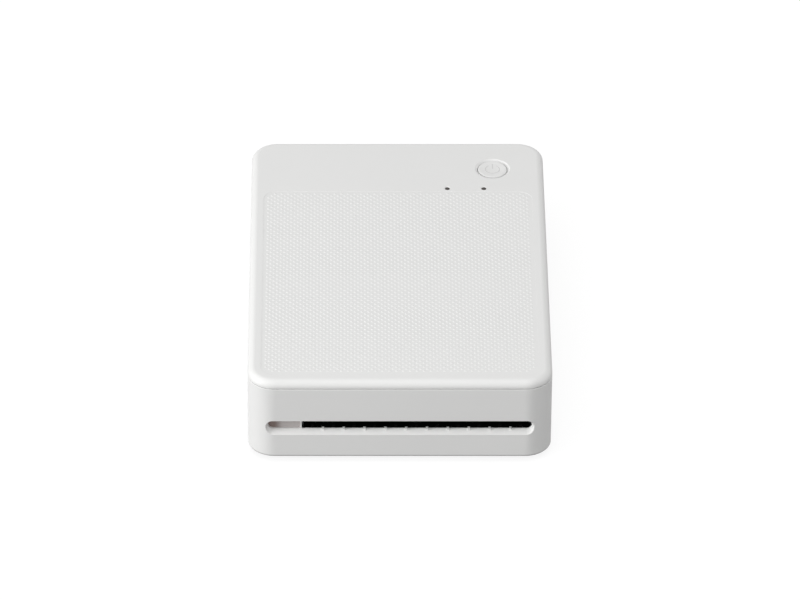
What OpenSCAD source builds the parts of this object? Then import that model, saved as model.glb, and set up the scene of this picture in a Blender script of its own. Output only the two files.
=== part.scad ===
// Compact photo printer: a flat box with a hinged top cover, a paper slot in front,
// a film cassette, a print head in the cover and a gear train beside the rollers.
// Millimetres. X to the right seen from the front, Y to the rear, Z up.
// The origin is under the middle of the box, at the height the feet stand on.

/* [Body] */
// Radius of the four upright corners
corner_r = 9.0; // [7:0.1:11]
// Thickness of the upright walls
wall = 2.0; // [1.6:0.1:2.2]
// Thickness of the floor and of the cover's top
skin = 1.8; // [1.4:0.1:2.1]
// Radius along the cover's top edge, which is also the hinge's radius
top_round = 2.4; // [2.2:0.1:2.6]
// Radius along the housing's bottom edge
bottom_round = 0.7; // [0.4:0.1:1.2]
// Radius along the housing's upper rim, at the parting line
rim_round = 0.3; // [0.2:0.05:0.5]
// Height of the cover's edge, from the parting line to the top
cover_edge = 2.7; // [2.6:0.1:3]
// Open parting line between the cover and the housing
parting_gap = 0.3; // [0.2:0.05:0.4]
// Depth of the dotted field let into the cover's top
dots_depth = 0.08; // [0.05:0.01:0.15]
// Distance of the dotted field from the sides and the front
dots_in = 4.4; // [3:0.1:8]
// Length of the plain strip behind the dotted field
plain_l = 31.7; // [28:0.1:36]

/* [Base] */
// Height of the housing's underside above the feet's contact plane
base_lift = 2.1; // [1.9:0.1:2.6]
// How far the base plate is set in from the body's sides
base_inset = 6; // [4:0.5:8]
// Thickness of the base plate
base_t = 1.2; // [1:0.1:1.4]
// Radius of a rubber foot
foot_r = 4.5; // [3.5:0.1:5.5]
// How far a foot is let into the base plate
foot_sunk = 0.7; // [0.4:0.1:0.8]
// Distance of a foot's middle from the body's side
foot_in_x = 16.1; // [14:0.1:19]
// Distance of a foot's middle from the body's front or rear
foot_in_y = 16.9; // [15:0.1:25]

/* [Paper slot] */
// Distance of the middle of the slot's round end from the body's side
slot_in = 8.45; // [7.6:0.05:9.5]
// Radius of the slot's mouth at the front face
slot_mouth_r = 2.85; // [2.5:0.05:3.2]
// Radius of the slot where its funnel ends
slot_throat_r = 1.65; // [1.5:0.05:1.9]
// Depth of the slot's funnel
slot_depth = 2.1; // [1.8:0.1:2.6]
// Thickness of the slot's lip behind the funnel
slot_lip = 0.4; // [0.3:0.05:0.6]
// How far the closed left end of the slot lies behind the funnel
blank_depth = 1.0; // [0.6:0.1:1.2]
// Distance between the small ribs on the slot's lower lip
lip_rib_pitch = 7; // [6:0.5:9]
// Number of small ribs on the slot's lower lip
lip_rib_count = 10; // [6:1:10]

/* [Paper] */
// Width of a sheet
paper_w = 72; // [64:0.5:82]
// Length of a sheet
paper_l = 85; // [78:1:96]
// Height of the stack of sheets in the tray
stack_h = 1.6; // [0.8:0.1:1.7]

/* [Print unit] */
// Space between the paper's edge and a side plate
side_room = 2.1; // [1.9:0.05:2.6]
// Thickness of a side plate
plate_t = 1.2; // [1:0.1:1.3]
// Width of the space for the gears, between the left side plate and the gear plate
bay_w = 5.1; // [4.8:0.1:6]
// Room for the cover's lock, between the right side plate and the wall
lock_room = 4.15; // [4.1:0.05:5]
// Radius of the rubber platen roller
platen_r = 4.5; // [4:0.1:5]
// Radius of the capstan that moves the paper
capstan_r = 2.5; // [2.3:0.1:2.6]
// Radius of the pinch roller over the capstan
pinch_r = 2.0; // [1.8:0.1:2]
// Radius of the exit tyres behind the slot
tyre_r = 3.0; // [2.8:0.1:3]
// Radius of the feed roller under the paper tray
feed_r = 4.0; // [3.6:0.1:4]
// Radius of the roller shafts' journals
journal_r = 1.5; // [1.3:0.05:1.6]
// Running clearance of a shaft in its bush, on the radius
running_gap = 0.05; // [0.02:0.01:0.08]

/* [Cassette] */
// Inner radius of a cassette tube
tube_r = 5.4; // [5.2:0.1:5.5]
// Wall of the cassette
tube_wall = 1.0; // [0.8:0.1:1]
// Radius of a spool's core
core_r = 3.0; // [2.8:0.1:3.2]
// Radius of the film wound on a spool
wound_r = 4.2; // [3.8:0.1:4.4]

/* [Gears] */
// Size of the teeth: pitch diameter over number of teeth
tooth_module = 0.5; // [0.5:0.01:0.51]
// Pressure angle of the teeth, in degrees
pressure_angle = 25; // [20:1:25]
// Width of the gears
gear_w = 3.2; // [2.6:0.1:3.4]
// Teeth of the motor's pinion
pinion_teeth = 12; // [12:1:12]
// Teeth of the capstan gear
capstan_teeth = 20; // [20:1:20]
// Teeth of the two idler gears
idler_teeth = 22; // [22:1:22]
// Teeth of the exit gear
exit_teeth = 20; // [20:1:20]
// Teeth of the take-up gear
takeup_teeth = 20; // [20:1:20]
// Teeth of the feed gear
feed_teeth = 14; // [14:1:14]

/* [Motor] */
// Radius of the motor's can
motor_r = 8; // [7:0.1:8]
// Length of the motor's can
motor_l = 9.2; // [8:0.1:11]
// Space between the motor and the housing's wall
motor_room = 0.35; // [0.3:0.05:1]

/* [Controls] */
// Power button, distance from the body's right side
button_in = 17.9; // [16.5:0.1:20]
// Power button, distance in front of the hinge line
button_back = 14.9; // [13.5:0.1:15]
// Radius of the power button's cap
button_r = 5.1; // [4.6:0.1:5.3]
// Travel of the power button
button_travel = 0.6; // [0.4:0.05:0.6]
// Radius of a light pipe's tip
pipe_r = 0.8; // [0.7:0.05:0.9]
// Positions of the two light pipes left of the power button
pipe_offset = [15.9, 3.2];
// Light pipes, distance in front of the power button
pipe_front = 12.3; // [11:0.1:12.5]
// Travel of the cover's release slide
release_travel = 3; // [2:0.5:3]

/* [Hinge] */
// Distance of each hinge ear from the body's side
ear_in = 13.1; // [11:0.1:17]
// Width of a hinge ear
ear_w = 3; // [2.4:0.1:3.2]
// Radius of a hinge pin
pin_r = 0.8; // [0.7:0.05:0.85]

/* [Clearances] */
// Soft clearance between pieces that move past each other
gap = 0.3; // [0.2:0.05:0.35]
// Clearance of a screw or a pressed piece in its hole, on the radius
snug = 0.02; // [0.01:0.01:0.04]

/* [Hidden] */
$fn = 64;

// colours
shell_white = "#E6E6E3";
inner_grey = "#55575A";
dark_plastic = "#2B2C2E";
steel = "#B4B7BA";
zinc = "#9FA3A6";
rubber_black = "#1D1E1F";
gear_white = "#D9D6CC";
brass_yellow = "#C2A45A";
board_green = "#2F5B45";
film_dark = "#3A3035";
paper_white = "#F4F3EE";

// widths: what lies beside the paper sets how wide the body is
eps = 0.01;
gear_plate_t = 0.8;
frame_w = paper_w + 2 * side_room;
left_stack = wall + motor_room + motor_l + gear_plate_t + bay_w + plate_t + frame_w / 2;
right_stack = frame_w / 2 + plate_t + lock_room + wall;
body_w = left_stack + right_stack;
paper_x = (left_stack - right_stack) / 2;
in_x = body_w / 2 - wall;

// depths: the rollers in front of the paper and the paper itself set how deep the body is
exit_back = 11.4;
platen_back = exit_back + 13;
capstan_back = platen_back + platen_r + capstan_r + 0.5;
feed_back = capstan_back + 19;
tray_back = feed_back - 3.4;
tray_play = 4.4;
rear_room = 8.9;
body_d = tray_back + paper_l + tray_play + rear_room;
front_y = -body_d / 2;
rear_y = body_d / 2;
in_front = front_y + wall;
in_rear = rear_y - wall;

// heights: floor, platen, gears and cover set how high the body is
floor_z = base_lift + skin;
path_z = floor_z + 1.1 + 2 * platen_r;
function pitch_r(teeth) = tooth_module * teeth / 2;
function between(a, b) = pitch_r(a) + pitch_r(b);
plate_thick = 1;
frame_hi = path_z - capstan_r + between(capstan_teeth, pinion_teeth) + 7;
plate_lo = frame_hi + 1.5;
plate_hi = plate_lo + plate_thick;
cover_under = plate_hi + 2.1;
body_h = cover_under + skin;
part_z = body_h - cover_edge;
tub_top = part_z - parting_gap;

// hinge line: the middle of the cover's rear top edge radius
hinge_y = rear_y - top_round;
hinge_z = body_h - top_round;
bead_r = top_round - 0.1;
bead_half = body_w / 2 - 3.1;
relief_r = top_round + gap;
ear_x = body_w / 2 - ear_in;
ear_r = pin_r + 0.7;
pin_half = ear_w / 2 + 3;

// base
base_low = base_lift - base_t;
foot_x = body_w / 2 - foot_in_x;
foot_y = body_d / 2 - foot_in_y;
front_screw = [20, front_y + 10.9];
rear_screw = [body_w / 2 - 8.6, rear_y - 12.9];
screw_r = 0.9;
head_r = 1.7;
head_h = 0.9;
boss_r = 2.4;

// paper slot
pad_t = 1.7;
slot_z = path_z + 0.05;
slot_half = body_w / 2 - slot_in;
blank_x = paper_x - frame_w / 2 - 0.55;
blank_wall = 0.4;
lip_drop = 2;

// cover's underside
skirt_t = 1.2;
skirt_low = tub_top - 1.7;
plate_x = in_x - 2.3;
plate_front = in_front + 2.4;
plate_rear = hinge_y - 4.5;
button_x = body_w / 2 - button_in;
button_y = hinge_y - button_back;
well_front = button_y - 18.6;
well_rear = button_y + 9.4;
well_left = button_x - 21.2;
well_right = button_x + 12.8;
well_wall = 1.2;
well_low = plate_lo - 2.8;
pcb_t = 0.8;
button_pcb_z = well_low + 1.6;
plunger_z = button_pcb_z + pcb_t + 1.3;
cap_top = body_h - 0.15;
cap_edge = 0.3;
collar_t = 0.8;
collar_top = cover_under - gap;
dish_r = 45;
dish_depth = 0.2;

// middles of the shafts, as [y, z]
exit_c = [front_y + exit_back, path_z - tyre_r];
platen_c = [front_y + platen_back, path_z - platen_r];
capstan_c = [front_y + capstan_back, path_z - capstan_r];
pinch_c = [capstan_c[0], path_z + gap + pinch_r];
tray_floor = path_z - 1.4;
feed_c = [front_y + feed_back, tray_floor - gap - feed_r];
pinch_journal_r = 1;

// print unit
frame_l = paper_x - frame_w / 2;
frame_r = paper_x + frame_w / 2;
left_out = frame_l - plate_t;
right_out = frame_r + plate_t;
gear_plate_x = left_out - bay_w;
gear_x = left_out - (bay_w + gear_w) / 2;
frame_front = in_front + 2.9;
frame_rear = feed_c[0] + 6;
frame_low = floor_z + gap;
seat_z = floor_z + 2;
flange_l = 6;
flange_t = 1.2;
foot_rows = [exit_c[0] - 0.5, capstan_c[0] + 11];
foot_half = 4;
flange_screw = 3.4;
roll_gap = 1;
bush_r = journal_r + 0.55;
flange_r = bush_r + 0.45;
flange_thick = 0.5;

// the point at distance ra from a and rb from b, on one side of the line a to b
function meet(a, ra, b, rb, side) =
    let (d = norm(b - a), u = (b - a) / d, s = (ra * ra - rb * rb + d * d) / (2 * d))
    a + u * s + side * [-u[1], u[0]] * sqrt(ra * ra - s * s);
motor_c = capstan_c + [0, between(capstan_teeth, pinion_teeth)];
exit_idler_c = meet(exit_c, between(exit_teeth, idler_teeth),
                    capstan_c, between(capstan_teeth, idler_teeth), 1);
feed_idler_c = meet(capstan_c, between(capstan_teeth, idler_teeth),
                    feed_c, between(feed_teeth, idler_teeth), 1);
takeup_lean = 0.5;
takeup_reach = between(exit_teeth, takeup_teeth);
takeup_c = exit_c + [takeup_lean, sqrt(takeup_reach * takeup_reach - takeup_lean * takeup_lean)];
head_room = 15.2;
supply_c = [takeup_c[0] + 2 * (tube_r + tube_wall) + head_room, takeup_c[1]];

// turn of each gear that puts its teeth in mesh with the gear that drives it
function way(a, b) = atan2(b[1] - a[1], b[0] - a[0]);
function mesh(turn_a, na, nb, beta) =
    beta + 180 - (0.5 - (beta - turn_a) * na / 360) * 360 / nb;
capstan_turn = 0;
pinion_turn = mesh(capstan_turn, capstan_teeth, pinion_teeth, way(capstan_c, motor_c));
exit_idler_turn = mesh(capstan_turn, capstan_teeth, idler_teeth, way(capstan_c, exit_idler_c));
exit_turn = mesh(exit_idler_turn, idler_teeth, exit_teeth, way(exit_idler_c, exit_c));
takeup_turn = mesh(exit_turn, exit_teeth, takeup_teeth, way(exit_c, takeup_c));
feed_idler_turn = mesh(capstan_turn, capstan_teeth, idler_teeth, way(capstan_c, feed_idler_c));
feed_turn = mesh(feed_idler_turn, idler_teeth, feed_teeth, way(feed_idler_c, feed_c));

// spacer posts of the gear plate, as [y, z]
post_r = 1.2;
posts = [
    [exit_c[0] - 4.8, exit_c[1] + 5],
    [exit_idler_c[0], exit_idler_c[1] + 10.5],
    [feed_idler_c[0], feed_idler_c[1] + 10.7],
    [feed_c[0] + 2.7, feed_c[1] + 5.3]
];
axle_r = 1.0;

// cassette
cass_l = frame_l + 0.7;
cass_r = frame_r - 0.7;
tube_out = tube_r + tube_wall;
cap_t = 1.2;
arm_t = 1.5;
spool_journal = 2.0;
film_l = cass_l + arm_t + 0.4;
film_r = cass_r - arm_t - 0.4;
film_t = 0.15;

// screws that hold the inner plate in the cover, clear of the cassette and the motor
inner_screws = [
    [-plate_x + 16.8, plate_front + 1.9], [plate_x - 16.8, plate_front + 1.9],
    [-plate_x + 2.8, supply_c[0] + 5], [plate_x - 2.8, supply_c[0] + 5],
    [-plate_x + 2.8, plate_rear - 4], [well_left - 4, plate_rear - 4]
];

// tray and electronics
tray_front = front_y + tray_back;
tray_l = frame_l + 0.6;
tray_r = frame_r - 0.6;
tray_t = 1.2;
tray_end = tray_front + paper_l + tray_play;
tray_wall_h = 7;
stack_front = tray_front + tray_t + 1.3;
feed_roller_w = 20;
tray_slot_x = paper_w / 2 - 16;
battery_size = [32, 62, 6];
battery_at = [tray_l + 4.8, feed_c[0] + 12];
board_t = 1.0;
board_z = floor_z + 1.6;
board_l = battery_at[0] + battery_size[0] + 3.1;
board_r = tray_r - 4.1;
board_front = feed_c[0] + 10;
usb_x = board_r - 9.05;
usb_w = 8.94;
usb_h = 3.2;
usb_l = 7.4;
usb_z = board_z + board_t + usb_h / 2;
board_posts = [
    [board_l + 2.6, board_front + 2.6], [board_r - 2.6, board_front + 2.6],
    [board_l + 2.6, in_rear - 24], [board_r - 2.4, in_rear - 13]
];
tray_posts = [
    for (x = [tray_l + 2, tray_r - 2], y = [tray_front + 13.4, tray_end - 14]) [x, y]
];

// print head in the cover
head_in = 1.3;
head_l = film_l + head_in;
head_r_x = film_r - head_in;
head_y = platen_c[0];
nub_z = path_z + 0.45 + gap;
ceramic_z = nub_z + 1.65;
sink_z = ceramic_z + 1.6;
bracket_t = 1;
head_spring_l = 3;
sink_top = plate_lo - head_spring_l - bracket_t;
head_studs = [paper_x - paper_w / 3, paper_x + paper_w / 3];
stud_r = 1.2;
press_front = supply_c[0] + 13;
press_rear = well_front - 4;
press_l = paper_x - paper_w / 2 + 6;
press_r = paper_x + paper_w / 2 - 6;
press_low = tray_floor + stack_h + gap;
press_studs = [[press_l + 12, press_front + 14], [press_r - 12, press_front + 14]];
spring_r = 2.6;
wire_r = 0.3;

// cover lock
keeper_x = right_out + 0.45;
keeper_t = 1.3;
keeper_y = platen_c[0] + 0.5;
keeper_l = 4;
slide_x = in_x - gap - 1.2;
slide_t = 1.2;
slide_low = path_z + 2.2;
slide_hi = slide_low + 9.6;
slide_front = keeper_y + 5;
slide_l = 20;
knob_l = 10;
knob_h = 5;
knob_z = slide_low + 2.3;
knob_front = slide_front + 5;
knob_out = body_w / 2 - gap;
nose_z = slide_low + 7.2;

// ---------------------------------------------------------------- shared shapes

// Rounded rectangle, the plan of the body and of its plates
module plan(w, d, r) {
    square([w - 2 * r, d], center = true);
    square([w, d - 2 * r], center = true);
    for (sx = [-1, 1], sy = [-1, 1])
        translate([sx * (w / 2 - r), sy * (d / 2 - r)]) circle(r = r);
}

module slab(w, d, r, z0, z1) {
    translate([0, 0, z0]) linear_extrude(z1 - z0) plan(w, d, r);
}

// Quarter of a disc, reaching a little back into what it joins
module quarter(r) {
    intersection() {
        circle(r = r);
        translate([-eps, -eps]) square([r + 2 * eps, r + 2 * eps]);
    }
}

// Section of a moulded edge, with a radius at its foot and one at its top
module edge_section(r, z0, z1, low, high) {
    translate([0, z0 + low]) square([r, z1 - z0 - low - high]);
    if (low > 0) {
        translate([0, z0]) square([r - low, low + eps]);
        translate([r - low, z0 + low]) mirror([0, 1]) quarter(low);
    }
    if (high > 0) {
        translate([0, z1 - high - eps]) square([r - high, high + eps]);
        translate([r - high, z1 - high]) quarter(high);
    }
}

// Block with round upright corners and radii along its lower and upper edges
module soft_block(w, d, r, z0, z1, low, high) {
    translate([-w / 2 + r, -d / 2 + r, z0]) cube([w - 2 * r, d - 2 * r, z1 - z0]);
    for (side = [0, 1]) {
        rotate([0, 0, 180 * side]) {
            translate([w / 2 - r, d / 2 - r, 0]) rotate([90, 0, 0])
                linear_extrude(d - 2 * r) edge_section(r, z0, z1, low, high);
            translate([-w / 2 + r, d / 2 - r, 0]) rotate([90, 0, 90])
                linear_extrude(w - 2 * r) edge_section(r, z0, z1, low, high);
        }
    }
    for (i = [0 : 3]) {
        sx = (i == 0 || i == 3) ? 1 : -1;
        sy = i < 2 ? 1 : -1;
        translate([sx * (w / 2 - r), sy * (d / 2 - r), 0]) rotate([0, 0, 90 * i])
            rotate_extrude(angle = 90) edge_section(r, z0, z1, low, high);
    }
}

// Puts a flat outline drawn as (y, z) upright, running along X from x0 to x1
module across(x0, x1, c = [0, 0]) {
    translate([x0, c[0], c[1]]) rotate([90, 0, 90]) linear_extrude(x1 - x0) children();
}

// Round bar along X
module bar(x0, x1, c, r) {
    translate([x0, c[0], c[1]]) rotate([0, 90, 0]) cylinder(r = r, h = x1 - x0);
}

// Upright round post
module post(at, z0, z1, r) {
    translate([at[0], at[1], z0]) cylinder(r = r, h = z1 - z0);
}

// Rectangular block from one corner to the opposite one
module block(a, b) {
    translate(a) cube(b - a);
}

// Pan-head screw: the shank points up or down from under its head
module screw(at, z, way_up, shank_l) {
    translate([at[0], at[1], z]) mirror([0, 0, way_up > 0 ? 0 : 1]) {
        translate([0, 0, -head_h]) difference() {
            cylinder(r = head_r, h = head_h);
            translate([0, 0, -eps]) cylinder(r = 0.75, h = head_h / 2, $fn = 6);
        }
        translate([0, 0, -eps]) cylinder(r = screw_r, h = shank_l + eps);
    }
}

// Coil spring standing on Z, drawn as a stack of rings joined by their touching turns
module coil(at, z0, z1, r, wire) {
    turns = floor((z1 - z0) / (2 * wire));
    rise = (z1 - z0) / turns;
    translate([at[0], at[1], z0])
        for (i = [0 : turns - 1])
            translate([0, 0, i * rise]) rotate_extrude()
                translate([r - wire, 0])
                    square([wire * (i % 2 == 0 ? 1.6 : 1), rise + (i < turns - 1 ? eps : 0)]);
}

// Angle between a tooth's flank at radius r and its start on the base circle
function flank(r, base) =
    r <= base ? 0 : sqrt(r * r / (base * base) - 1) * 180 / PI - acos(base / r);

// Points of an involute gear; one tooth is centred on the angle 0
function gear_points(teeth) =
    let (
        pitch = pitch_r(teeth),
        base = pitch * cos(pressure_angle),
        tip = pitch + 0.9 * tooth_module,
        root = pitch - 1.2 * tooth_module,
        slack = 0.04 / pitch * 180 / PI,
        half = 90 / teeth - slack + flank(pitch, base),
        low = max(base, root),
        steps = 3,
        radii = [for (i = [0 : steps]) low + (tip - low) * i / steps],
        edge = [for (r = radii) [r, half - flank(r, base)]],
        side = root < base ? concat([[root, half]], edge) : edge
    )
    [for (t = [0 : teeth - 1], p = concat(
            [for (i = [0 : len(side) - 1]) [side[i][0], t * 360 / teeth - side[i][1]]],
            [for (i = [len(side) - 1 : -1 : 0]) [side[i][0], t * 360 / teeth + side[i][1]]]))
        p[0] * [cos(p[1]), sin(p[1])]];

// Spur gear on a bore, with a hub ring to each side
module gear(c, teeth, turn, bore) {
    hub = bore + 0.8;
    difference() {
        union() {
            across(gear_x, gear_x + gear_w, c) rotate(turn) polygon(gear_points(teeth));
            bar(gear_x - 0.3, gear_x + gear_w + 0.3, c, hub);
        }
        bar(gear_x - 1, gear_x + gear_w + 1, c, bore);
    }
}

// ---------------------------------------------------------------- housing

// Paper slot: a funnel with round ends, then the opening, which is shorter on the left
module slot_cut() {
    funnel_end = front_y + slot_depth;
    lip_end = funnel_end + slot_lip;
    low = slot_z - slot_throat_r;
    high = slot_z + slot_throat_r;
    across(-slot_half, slot_half) polygon([
        [front_y - eps, slot_z - slot_mouth_r], [funnel_end, low],
        [funnel_end, high], [front_y - eps, slot_z + slot_mouth_r]
    ]);
    for (s = [-1, 1])
        translate([s * slot_half, front_y - eps, slot_z]) rotate([-90, 0, 0])
            cylinder(r1 = slot_mouth_r, r2 = slot_throat_r, h = slot_depth + eps);
    block([blank_x, funnel_end - eps, low], [slot_half, lip_end + eps, high]);
    translate([slot_half, funnel_end - eps, slot_z]) rotate([-90, 0, 0])
        cylinder(r = slot_throat_r, h = slot_lip + 2 * eps);
    // room behind the lip for the sill's front edge
    block([blank_x, lip_end, low - lip_drop],
          [slot_half + slot_throat_r, in_front + pad_t + 1, high]);
    // closed left end, a little deeper than the funnel
    block([-slot_half, funnel_end - eps, low],
          [blank_x - blank_wall, funnel_end + blank_depth, high]);
    translate([-slot_half, funnel_end - eps, slot_z]) rotate([-90, 0, 0])
        cylinder(r = slot_throat_r, h = blank_depth + eps);
}

// Small ribs that keep the sheet off the slot's lower lip
module lip_ribs() {
    for (i = [0 : lip_rib_count - 1]) {
        x = paper_x + (i - (lip_rib_count - 1) / 2) * lip_rib_pitch;
        block([x - 0.4, front_y + 1.4, slot_z - slot_throat_r - 0.9],
              [x + 0.4, front_y + slot_depth + slot_lip, slot_z - slot_throat_r + 0.45]);
    }
}

// Ears that carry the hinge pins, rising from the rear wall
module hinge_ears() {
    for (s = [-1, 1])
        difference() {
            union() {
                bar(s * ear_x - ear_w / 2, s * ear_x + ear_w / 2, [hinge_y, hinge_z], ear_r);
                block([s * ear_x - ear_w / 2, hinge_y - 1.2, hinge_z - 8],
                      [s * ear_x + ear_w / 2, hinge_y + 1.2, hinge_z]);
            }
            bar(s * ear_x - ear_w, s * ear_x + ear_w, [hinge_y, hinge_z], pin_r + running_gap);
        }
}

// Grooved rails for the cover's release slide, on the right wall
module slide_rails() {
    rail_front = slide_front - 3.5;
    rail_rear = slide_front + slide_l + release_travel + 1;
    for (up = [0, 1]) {
        z_in = up == 0 ? slide_low - gap : slide_hi + gap;
        difference() {
            block([slide_x - 0.8, rail_front, up == 0 ? z_in - 1.1 : slide_hi - 0.5],
                  [in_x + eps, rail_rear, up == 0 ? slide_low + 0.5 : z_in + 1.1]);
            block([slide_x - gap, rail_front - 1, up == 0 ? z_in : slide_hi - 1],
                  [in_x + 1, rail_rear + 1, up == 0 ? slide_low + 1 : z_in]);
        }
    }
}

function frame_screw_places() = [
    for (x = [frame_l + flange_screw, frame_r - flange_screw], y = foot_rows) [x, y]
];
function bottom_screw_places() = [
    [-front_screw[0], front_screw[1]], [front_screw[0], front_screw[1]],
    [-rear_screw[0], rear_screw[1]], [rear_screw[0], rear_screw[1]]
];

module lower_housing() {
    color(shell_white) {
        difference() {
            union() {
                difference() {
                    soft_block(body_w, body_d, corner_r, base_lift, tub_top, bottom_round, rim_round);
                    slab(body_w - 2 * wall, body_d - 2 * wall, corner_r - wall, floor_z, tub_top + 1);
                }
                // thicker wall behind the paper slot
                block([-slot_half - 4, in_front - eps, slot_z - 4.5],
                      [slot_half + 4, in_front + pad_t, slot_z + 4.5]);
                for (p = frame_screw_places()) post(p, floor_z - eps, seat_z, 2.6);
                for (p = board_posts) post(p, floor_z - eps, board_z, 2);
                for (p = tray_posts) post(p, floor_z - eps, tray_floor - tray_t, 1.7);
                for (p = bottom_screw_places()) post(p, floor_z - eps, floor_z + 2.8, boss_r);
                // ribs that keep the battery in place
                for (y = [battery_at[1] - gap - 1, battery_at[1] + battery_size[1] + gap])
                    block([battery_at[0] + 6, y, floor_z - eps],
                          [battery_at[0] + 26, y + 1, floor_z + 3.5]);
                slide_rails();
            }
            slot_cut();
            // room for the cover's hinge bead
            bar(-bead_half - gap, bead_half + gap, [hinge_y, hinge_z], relief_r);
            block([-bead_half - gap, hinge_y - relief_r, hinge_z - 1.6],
                  [bead_half + gap, rear_y + 1, tub_top + 1]);
            // charging socket's opening
            block([usb_x - usb_w / 2 + usb_h / 2, in_rear - 1, usb_z - usb_h / 2 - gap],
                  [usb_x + usb_w / 2 - usb_h / 2, rear_y + 1, usb_z + usb_h / 2 + gap]);
            for (s = [-1, 1])
                translate([usb_x + s * (usb_w - usb_h) / 2, in_rear - 1, usb_z]) rotate([-90, 0, 0])
                    cylinder(r = usb_h / 2 + gap, h = wall + 2);
            // window for the release knob
            block([in_x - 1, knob_front - gap, knob_z - gap],
                  [body_w / 2 + 1, knob_front + knob_l + release_travel + gap, knob_z + knob_h + gap]);
            for (p = frame_screw_places()) post(p, floor_z - 1, seat_z + 1, screw_r + snug);
            for (p = board_posts) post(p, floor_z - 1, board_z + 1, screw_r + snug);
            for (p = bottom_screw_places()) post(p, base_lift - 1, floor_z + 2, screw_r + snug);
        }
        lip_ribs();
        hinge_ears();
    }
}

module bottom_plate() {
    color(shell_white) difference() {
        slab(body_w - 2 * base_inset, body_d - 2 * base_inset, corner_r - 4, base_low, base_lift);
        for (sx = [-1, 1], sy = [-1, 1])
            post([sx * foot_x, sy * foot_y], base_low - 1, base_low + foot_sunk, foot_r + 0.05);
        for (p = bottom_screw_places()) {
            post(p, base_low - 1, base_lift - 0.2, head_r + 0.2);
            post(p, base_low - 1, base_lift + 1, screw_r + 0.1);
        }
    }
}

module rubber_feet() {
    color(rubber_black) for (sx = [-1, 1], sy = [-1, 1])
        translate([sx * foot_x, sy * foot_y, 0]) {
            cylinder(r1 = foot_r - 0.3, r2 = foot_r, h = 0.3);
            translate([0, 0, 0.3 - eps]) cylinder(r = foot_r, h = base_low + foot_sunk - 0.3 + eps);
        }
}

module bottom_screws() {
    color(zinc) for (p = bottom_screw_places()) screw(p, base_lift - 0.2, 1, 3.6);
}

// ---------------------------------------------------------------- print unit

// Outline of a side plate, as (y, z)
module plate_outline(inset) {
    polygon([
        [frame_front + inset, frame_low + inset], [frame_rear - inset, frame_low + inset],
        [frame_rear - inset, frame_low + 9], [frame_rear - 8.5 - inset, frame_hi - inset],
        [frame_front + 3, frame_hi - inset], [frame_front + inset, frame_hi - 3]
    ]);
}

// Bent feet of a side plate, and tabs that the cassette rests on
module plate_feet(x, inward) {
    for (y = foot_rows)
        block([min(x, x + inward * flange_l), y - foot_half, seat_z],
              [max(x, x + inward * flange_l), y + foot_half, seat_z + flange_t]);
    for (c = [takeup_c, supply_c])
        block([min(x, x + inward * 2), c[0] - 2, c[1] - tube_out - 1],
              [max(x, x + inward * 2), c[0] + 2, c[1] - tube_out - 0.1]);
}

function bushed() = [exit_c, platen_c, capstan_c, feed_c];

module left_side_plate() {
    color(steel) difference() {
        union() {
            across(left_out, frame_l) plate_outline(0);
            plate_feet(frame_l - eps, 1);
        }
        for (c = concat(bushed(), [takeup_c])) bar(left_out - 1, frame_l + 1, c, bush_r);
        bar(left_out - 1, frame_l + 1, pinch_c, pinch_journal_r + running_gap);
        for (c = [exit_idler_c, feed_idler_c]) bar(left_out - 1, frame_l + 1, c, axle_r + snug);
        for (y = foot_rows) post([frame_l + flange_screw, y], seat_z - 1, seat_z + 3, screw_r + 0.1);
    }
}

module right_side_plate() {
    color(steel) difference() {
        union() {
            across(frame_r, right_out) plate_outline(0);
            plate_feet(frame_r + eps, -1);
        }
        for (c = bushed()) bar(frame_r - 1, right_out + 1, c, bush_r);
        bar(frame_r - 1, right_out + 1, pinch_c, pinch_journal_r + running_gap);
        for (y = foot_rows) post([frame_r - flange_screw, y], seat_z - 1, seat_z + 3, screw_r + 0.1);
    }
}

module gear_plate() {
    color(steel) difference() {
        union() {
            across(gear_plate_x - gear_plate_t, gear_plate_x) plate_outline(0.8);
            for (c = posts) bar(gear_plate_x - eps, left_out, c, post_r);
        }
        bar(gear_plate_x - 2, gear_plate_x + 1, motor_c, pitch_r(pinion_teeth) + 0.8);
        for (c = [exit_idler_c, feed_idler_c]) bar(gear_plate_x - 2, gear_plate_x + 1, c, axle_r + snug);
        for (s = [-1, 1])
            bar(gear_plate_x - 2, gear_plate_x + 1, motor_c + [s * 5.8, 0], 0.7 + snug);
    }
}

module frame_screws() {
    color(zinc) for (p = frame_screw_places())
        screw(p, seat_z + flange_t, -1, flange_t + 2.6);
}

// Flanged plain bearings, pressed into the side plates
module bushes() {
    color(dark_plastic) {
        for (c = bushed()) {
            difference() {
                union() {
                    bar(left_out, frame_l + eps, c, bush_r - snug);
                    bar(frame_l, frame_l + flange_thick, c, flange_r);
                }
                bar(left_out - 1, frame_l + 2, c, journal_r + running_gap);
            }
            difference() {
                union() {
                    bar(frame_r - eps, right_out, c, bush_r - snug);
                    bar(frame_r - flange_thick, frame_r, c, flange_r);
                }
                bar(frame_r - 2, right_out + 1, c, journal_r + running_gap);
            }
        }
        difference() {
            bar(left_out, frame_l, takeup_c, bush_r - snug);
            bar(left_out - 1, frame_l + 1, takeup_c, journal_r + running_gap);
        }
    }
}

module idler_axles() {
    color(zinc) for (c = [exit_idler_c, feed_idler_c])
        bar(gear_plate_x - gear_plate_t, frame_l, c, axle_r);
}

module motor() {
    front = gear_plate_x - gear_plate_t;
    color(zinc) difference() {
        union() {
            bar(front - motor_l, front, motor_c, motor_r);
            bar(front - motor_l + 0.6, front - 1.2, motor_c, motor_r + 0.3);
        }
        bar(front - motor_l + 2, front + 1, motor_c, 0.75 + running_gap);
        for (s = [-1, 1]) bar(front - 2, front + 1, motor_c + [s * 5.8, 0], 0.7 + snug);
    }
}

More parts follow.
